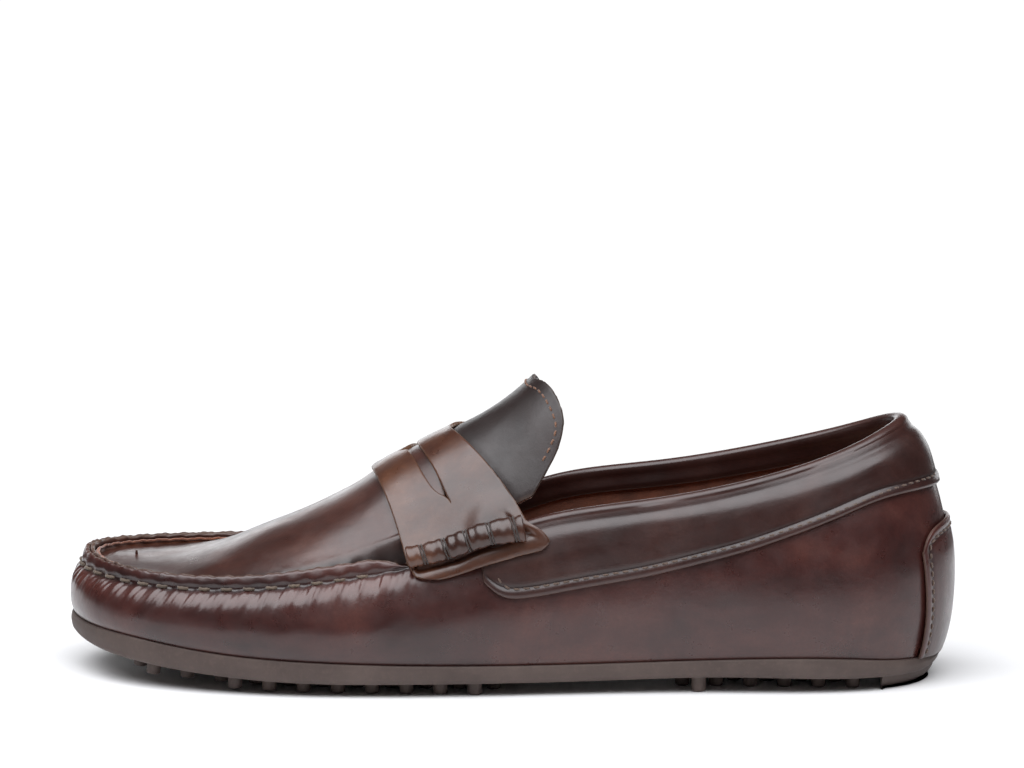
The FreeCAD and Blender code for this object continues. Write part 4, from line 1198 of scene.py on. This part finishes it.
def make_collar(form):
    """Soft leather collar, folded over the topline and down inside."""
    s = stations(COLLAR_START, ROUND - COLLAR_START, 1.3, 1.2)
    low = collar_low(s)
    height = np.maximum((1 - low) * (ring(s)[:, 4] - wall_base(s, 0.0)[:, 2]), 1.0)
    outside, inside = 2 * GAP + OVERLAY, LINING_FACE + GAP
    columns, shades = [], []
    ends = smooth(np.minimum(rim_arc(s) - rim_arc(s[0]), rim_arc(s[-1]) - rim_arc(s)) / 5.0)
    rows = [0, 0.35, 0.8, 1.3, 1.9, 2.4, 2.8, 3.1, 3.5, 4.1, 4.8]
    for k in range(len(rows) + 26):
        above = np.minimum(rows[k], height * 0.5) if k < len(rows) else None
        if above is None:
            step = (k - len(rows) + 1) / 26
            above = np.minimum(rows[-1], height * 0.5) * (1 - step) + (height - 0.3) * step
        v = low + (1 - low) * above / height
        base = wall_base(s, v)
        crinkle = (0.16 * ripple(base, 34, 1) + 0.05 * ripple(base, 11, 2)) * smooth((above - 3) / 6)
        relief = collar_relief(above, height - above) * ends + crinkle
        columns.append(wall(s, v, outside * squeeze(v) + relief))
        # Painted shade in the groove of the lower seam; painted highlights on the folded lower edge and along
        # the topline.
        shades.append(-0.55 * bell(above, 3.0, 0.7) + 0.28 * bell(above, 0, 0.6)
                      + 0.25 * bell(height, above, 1.0))
    near, far = outside * squeeze(1.0), inside * squeeze(1.0) + OVERLAY
    nx, ny = outward(s)
    top = wall(s, 1.0)
    for angle in np.radians(np.linspace(12, 168, 12)):
        shift = (near - far) / 2 + (near + far) / 2 * math.cos(angle)
        columns.append(top + np.stack([nx * shift, ny * shift, np.full(len(s), 2.0 * math.sin(angle))], -1))
        # Painted highlight on the top of the rolled topline.
        shades.append(np.full(len(s), 0.3 * math.sin(angle)))
    drop = COLLAR_DROP / (ring(s)[:, 4] - wall_base(s, 0.0)[:, 2])
    for share in np.concatenate([np.linspace(0.04, 0.9, 12), [0.95, 1.0]]):
        v = 1.0 - drop * share
        columns.append(wall(s, v, -far * squeeze(v) / squeeze(1.0) * 0.98
                            + 0.25 * math.exp(-((share - 0.9) / 0.1) ** 2)))
        # Painted shade, darker further down inside the collar.
        shades.append(np.full(len(s), -0.3 * share))
    return form.shell(np.stack(columns, 1), OVERLAY, 0.5, 0.35, np.stack(shades, 1))


def edge_line(offset, medial):
    """Stations and heights of a line that runs offset mm inside the collar's lower edge."""
    x = np.linspace(-6.5, 137.0, 700)
    z = collar_edge(x)
    slope = np.gradient(z, x)
    size = np.sqrt(1 + slope ** 2)
    px, pz = x - offset * slope / size, z + offset / size + (1.0 if medial else 0.0)
    keep = np.concatenate([[True], np.diff(px) > 0])
    px, pz = px[keep], pz[keep]
    v = np.full(len(px), 0.5)
    for _ in range(6):
        s = wall_station(px, v, medial)
        v = height_share(s, pz)
    return s, v


def make_collar_stitches(form):
    """Seam along the collar's folded lower edge, right round the heel."""
    lateral, medial = edge_line(3.0, False), edge_line(3.0, True)
    s = np.concatenate([lateral[0], medial[0][::-1]])
    v = np.concatenate([lateral[1], medial[1][::-1]])
    keep = (s > COLLAR_START + 0.12) & (s < ROUND - COLLAR_START - 0.12)
    s, v = s[keep], v[keep]
    line, out = surface_line(lambda k: wall(s, v, (2 * GAP + OVERLAY) * squeeze(v) - 0.1 + k))
    return sewn(form, line, out, FINE_PITCH, FINE_STITCH, FINE_THREAD, 0.4, 0.6, 1.1)


def make_collar_padding(form):
    s = stations(COLLAR_START + 0.9, ROUND - COLLAR_START - 0.9, 3.0, 1.0)
    low = np.minimum(wrap_top(s) + 0.035, 0.9)
    columns = []
    for share in np.concatenate([[0, 0.03, 0.08], np.linspace(0.15, 0.9, 10), [0.96, 1.0]]):
        v = low + (0.965 - low) * share
        columns.append(wall(s, v, -0.1 + 0.05 * ripple(wall_base(s, v), 9, 3)))
    return form.shell(np.stack(columns, 1), 1.1, 1.2, 0.1)


# ---- linings, counter and heel patch ------------------------------------------------------------
def make_lining(form, start, end, low, top, depth, lumps, thickness=LINING):
    """A lining on the walls; the face that shows looks into the shoe."""
    s = stations(start, end, 2.0, 0.8)
    columns = []
    for share in np.concatenate([[0.0, 0.01, 0.03], np.linspace(0.06, 0.95, 24), [0.975, 0.99, 1.0]]):
        v = low + (top(s) - low) * share
        columns.append(wall(s, v, -depth + lumps * ripple(wall_base(s, v), 24, 4)))
    return form.shell(np.stack(columns, 1), thickness, 0.3, 0.6, flip=True)


def counter_top(s):
    return 0.1 + 0.56 * np.sqrt(np.maximum(1 - (np.abs(s - HEEL) / 2.75) ** 2.6, 0.0))


def patch_top(s):
    share = np.abs(s - HEEL) / PATCH_REACH
    return 0.575 - 0.075 * np.minimum(share, 1.0) ** 7 - 0.02 * share * share


def patch_relief(s, v):
    """Folded rim of the heel patch and the groove of its seam."""
    side = (PATCH_REACH - np.abs(s - HEEL)) * STATION_SIZE
    up = (patch_top(s) - v) * WALL_SIZE
    inset = np.minimum(side, up)
    return (0.25 * bell(inset, 1.0, 0.9) - 0.3 * bell(inset, PATCH_SEAM, 0.55)
            + 0.25 * smooth((inset - 3) / 6)), inset


def make_heel_patch(form):
    s = stations(HEEL - PATCH_REACH, HEEL + PATCH_REACH, 0.6, 0.9)
    columns, shades = [], []
    for share in np.concatenate([[0], np.linspace(0.02, 0.9, 50), [0.93, 0.955, 0.97, 0.98, 0.99, 1.0]]):
        v = 0.012 + (patch_top(s) - 0.012) * share
        relief, inset = patch_relief(s, v)
        base = wall_base(s, v)
        columns.append(wall(s, v, GAP + WRAP + relief + 0.1 * ripple(base, 26, 2)))
        # Painted shade in the groove of the patch's seam and at its foot by the sole; painted highlight on
        # its folded rim.
        shades.append(-0.55 * bell(inset, PATCH_SEAM, 0.7) - 0.8 * bell(v * 70, 0, 1.2)
                      + 0.2 * bell(inset, 1.0, 0.9))
    return form.shell(np.stack(columns, 1), WRAP - 0.1, 0.6, 0.3, np.stack(shades, 1))


def make_heel_patch_stitches(form):
    """Seam inside the patch's edge: up one side, across, and down the other."""
    side = PATCH_REACH - PATCH_SEAM / STATION_SIZE
    up = np.linspace(0.03, 1.0, 150)
    bend = smooth((up - 0.9) / 0.1) * 0.10 * 0.25
    rise = up * (patch_top(HEEL + side) - PATCH_SEAM / WALL_SIZE)
    over = HEEL + np.linspace(-1, 1, 200) * (side - 0.03)
    s = np.concatenate([HEEL - (side - bend), over, (HEEL + (side - bend))[::-1]])
    v = np.concatenate([rise, patch_top(over) - PATCH_SEAM / WALL_SIZE, rise[::-1]])
    line, out = surface_line(lambda k: wall(s, v, GAP + WRAP - 0.12 + k))
    return sewn(form, line, out, 2.9, 2.3, FINE_THREAD, 0.4, 0.5, 1.1)


def make_layer(form, low, high, inset, dish, lumps):
    """A flat layer under the foot."""
    s = stations(-HEEL, HEEL, 2.0)[:-1]
    rows = []
    for depth in (0.0, 0.3, 0.8, 2.0, 5.0, 10.0, 17.0, 25.0, 34.0, 60.0):
        total = inset + depth
        x, y = foot_plan(s, -inset - depth) if total < 4 else pulled_in(s, total)
        z = sole_bottom(x) + high + dish * math.exp(-(depth / 5.0) ** 2)
        z = z + lumps * ripple(np.stack([x, y, z], -1), 30, 5)
        rows.append(np.stack([x, y, z], -1))
    return form.shell(np.stack(rows, 1), high - low, 0.4, 0.5, loop=True)


# ---- the scene ----------------------------------------------------------------------------------
SLOTS = {"rubber": "sole_rubber", "wrap": "wrap_leather", "collar": "collar_leather",
         "apron": "apron_leather", "strap": "strap_leather", "tongue": "dark_leather",
         "suede": "suede_lining", "smooth": "smooth_lining", "board": "fibre_board", "foam": "soft_foam"}


def make_pieces(mat):
    """Every piece rides on the shoe, apart from the tongue's three, which ride on no body."""
    def put(form, name, look, *nodes, flat=40, body="shoe"):
        return form.piece(name, mat[look], SLOTS.get(look, "waxed_thread"), body, nodes, flat)

    put(make_outsole(Form()), "outsole_rubber", "rubber", "outsole")
    put(make_studs(Form(), -150, 3), "forefoot_stud_field", "rubber", "forefoot_studs")
    put(make_studs(Form(), 55, HEEL_BLOCK_START - 8), "heel_stud_field", "rubber", "heel_studs")
    put(make_wrap(Form()), "gathered_wrap", "wrap", "moccasin_wrap", flat=70)
    put(make_seam_stitches(Form()), "apron_seam_stitches", "seam_thread", "apron_stitching")
    put(make_apron(Form()), "apron_plug", "apron", "apron", flat=70)
    put(make_apron_lining(Form()), "apron_suede", "suede", "apron_lining")
    put(make_strap(Form()), "penny_strap", "strap", "saddle_strap", flat=50)
    for side, medial in (("lateral", False), ("medial", True)):
        put(make_roll(Form(), medial), f"roll_leather_{side}", "strap", f"beef_roll_{side}")
        put(make_roll_threads(Form(), medial), f"roll_stitches_{side}", "dark_thread", f"roll_thread_{side}")
    flap = [put(make_tongue(Form()), "tongue_leather", "tongue", "tongue", flat=50, body=None),
            put(make_tongue_lining(Form()), "tongue_suede", "suede", "tongue_lining", body=None),
            put(make_tongue_stitches(Form()), "tongue_edge_stitches", "rust_thread", "tongue_stitching",
                body=None)]
    for obj in flap:
        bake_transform(obj)
    put(make_collar(Form()), "collar_leather", "collar", "collar", flat=60)
    put(make_collar_stitches(Form()), "collar_edge_stitches", "fine_thread", "collar_stitching")
    pad = put(make_collar_padding(Form()), "collar_pad", "foam", "collar_padding")

    vamp = make_lining(Form(), -VAMP_END, VAMP_END, 0.05, lambda s: np.where(from_toe(s) < 5.5, 0.8, 0.9),
                       LINING_FACE, 0.05)
    put(vamp, "vamp_suede", "suede", "vamp_lining")
    for side, start, end in (("lateral", QUARTER_START, QUARTER_END),
                             ("medial", ROUND - QUARTER_END, ROUND - QUARTER_START)):
        quarter = make_lining(Form(), start, end, 0.05, lambda s: 0.93 + 0 * s, LINING_FACE, 0.15)
        put(quarter, f"quarter_suede_{side}", "suede", f"quarter_lining_{side}")
    heel = make_lining(Form(), HEEL_LINING_START, ROUND - HEEL_LINING_START, 0.05, lambda s: 0.93 + 0 * s,
                       LINING_FACE + 0.35, 0.1)
    put(heel, "heel_smooth_lining", "smooth", "heel_lining")
    stiffener = make_lining(Form(), COUNTER_START, ROUND - COUNTER_START, 0.04, counter_top,
                            WRAP + GAP + COUNTER, 0.0, COUNTER)
    put(stiffener, "heel_stiffener", "board", "heel_counter")

    floor = SOLE_FLOOR + 2 * GAP + WRAP
    for name, look, node, thickness, inset, dish, lumps in (
            ("insole_fibre_board", "board", "insole_board", BOARD, WRAP + 0.5, 0.0, 0.0),
            ("footbed_foam_layer", "foam", "footbed_foam", FOAM, LINING_FACE + 0.4, 0.0, 0.0),
            ("sock_leather", "smooth", "sock_liner", SOCK, LINING_FACE + 0.4, 0.5, 0.12)):
        put(make_layer(Form(), floor, floor + thickness, inset, dish, lumps), name, look, node)
        floor += thickness + GAP
    put(make_heel_patch(Form()), "heel_patch_leather", "wrap", "heel_patch")
    put(make_heel_patch_stitches(Form()), "heel_patch_stitches", "fine_thread", "heel_patch_stitching")


def make_floor():
    mesh = bpy.data.meshes.new("floor")
    side, near, far = 0.9, -0.9, 0.3
    corners = [(-side, near, 0), (side, near, 0), (side, far, 0), (-side, far, 0)]
    mesh.from_pydata(corners, [], [(0, 1, 2, 3)])
    floor = bpy.data.objects.new("floor", mesh)
    bpy.context.scene.collection.objects.link(floor)
    r = Recipe("floor_white", Specular_IOR_Level=0.3)
    tone = r.ramp(r.noise(40, 3), (0.3, (0.86, 0.86, 0.86)), (0.7, (0.89, 0.89, 0.89)))
    mesh.materials.append(r.finish(tone, r.curve(r.noise(15), 0.3, 0.7, 0.6, 0.7)))


def area_light(name, place, target, width, height, power, colour):
    data = bpy.data.lights.new(name, "AREA")
    data.shape, data.size, data.size_y = "RECTANGLE", width, height
    data.energy, data.color = power, colour
    light = bpy.data.objects.new(name, data)
    light.location = place
    light.rotation_euler = (Vector(target) - Vector(place)).to_track_quat("-Z", "Y").to_euler()
    bpy.context.scene.collection.objects.link(light)


def make_lights():
    """A wide soft box overhead, a low bright panel behind, and a faint fill in front."""
    area_light("overhead_softbox", (-0.10, -0.42, 1.12), (-0.03, -0.1, 0), 2.2, 1.25, 38, (0.96, 0.97, 1.0))
    area_light("back_panel", (0.0, 2.6, 0.4), (0, 0, 0.2), 4.0, 0.8, 20, (0.96, 0.98, 1.0))
    area_light("front_fill", (-0.3, -1.6, 0.9), (0, 0, 0.05), 1.2, 0.7, 0.4, (1.0, 0.98, 0.96))
    world = bpy.data.worlds.new("studio")
    bpy.context.scene.world = world
    world.use_nodes = True
    tree = world.node_tree
    seen = tree.nodes.new("ShaderNodeLightPath")
    background = tree.nodes["Background"]
    strength = tree.nodes.new("ShaderNodeMapRange")
    strength.inputs["To Min"].default_value = 0.06
    strength.inputs["To Max"].default_value = 1.05
    tree.links.new(seen.outputs["Is Camera Ray"], strength.inputs["Value"])
    tree.links.new(strength.outputs["Result"], background.inputs["Strength"])
    background.inputs["Color"].default_value = (1, 1, 1, 1)


def make_camera():
    data = bpy.data.cameras.new("camera")
    data.lens, data.sensor_width = 148.85, 36.0
    data.shift_x = 0.0015
    data.clip_start, data.clip_end = 0.05, 50.0
    camera = bpy.data.objects.new("camera", data)
    azimuth, pitch = math.radians(3.5), math.radians(8.12)
    camera.location = (0.0841, -1.3657, 0.290)
    camera.rotation_euler = (math.pi / 2 - pitch, 0, azimuth)
    bpy.context.scene.collection.objects.link(camera)
    bpy.context.scene.camera = camera


bpy.context.scene.view_settings.view_transform = "Standard"
make_camera()
make_lights()
make_floor()
make_pieces(make_materials())
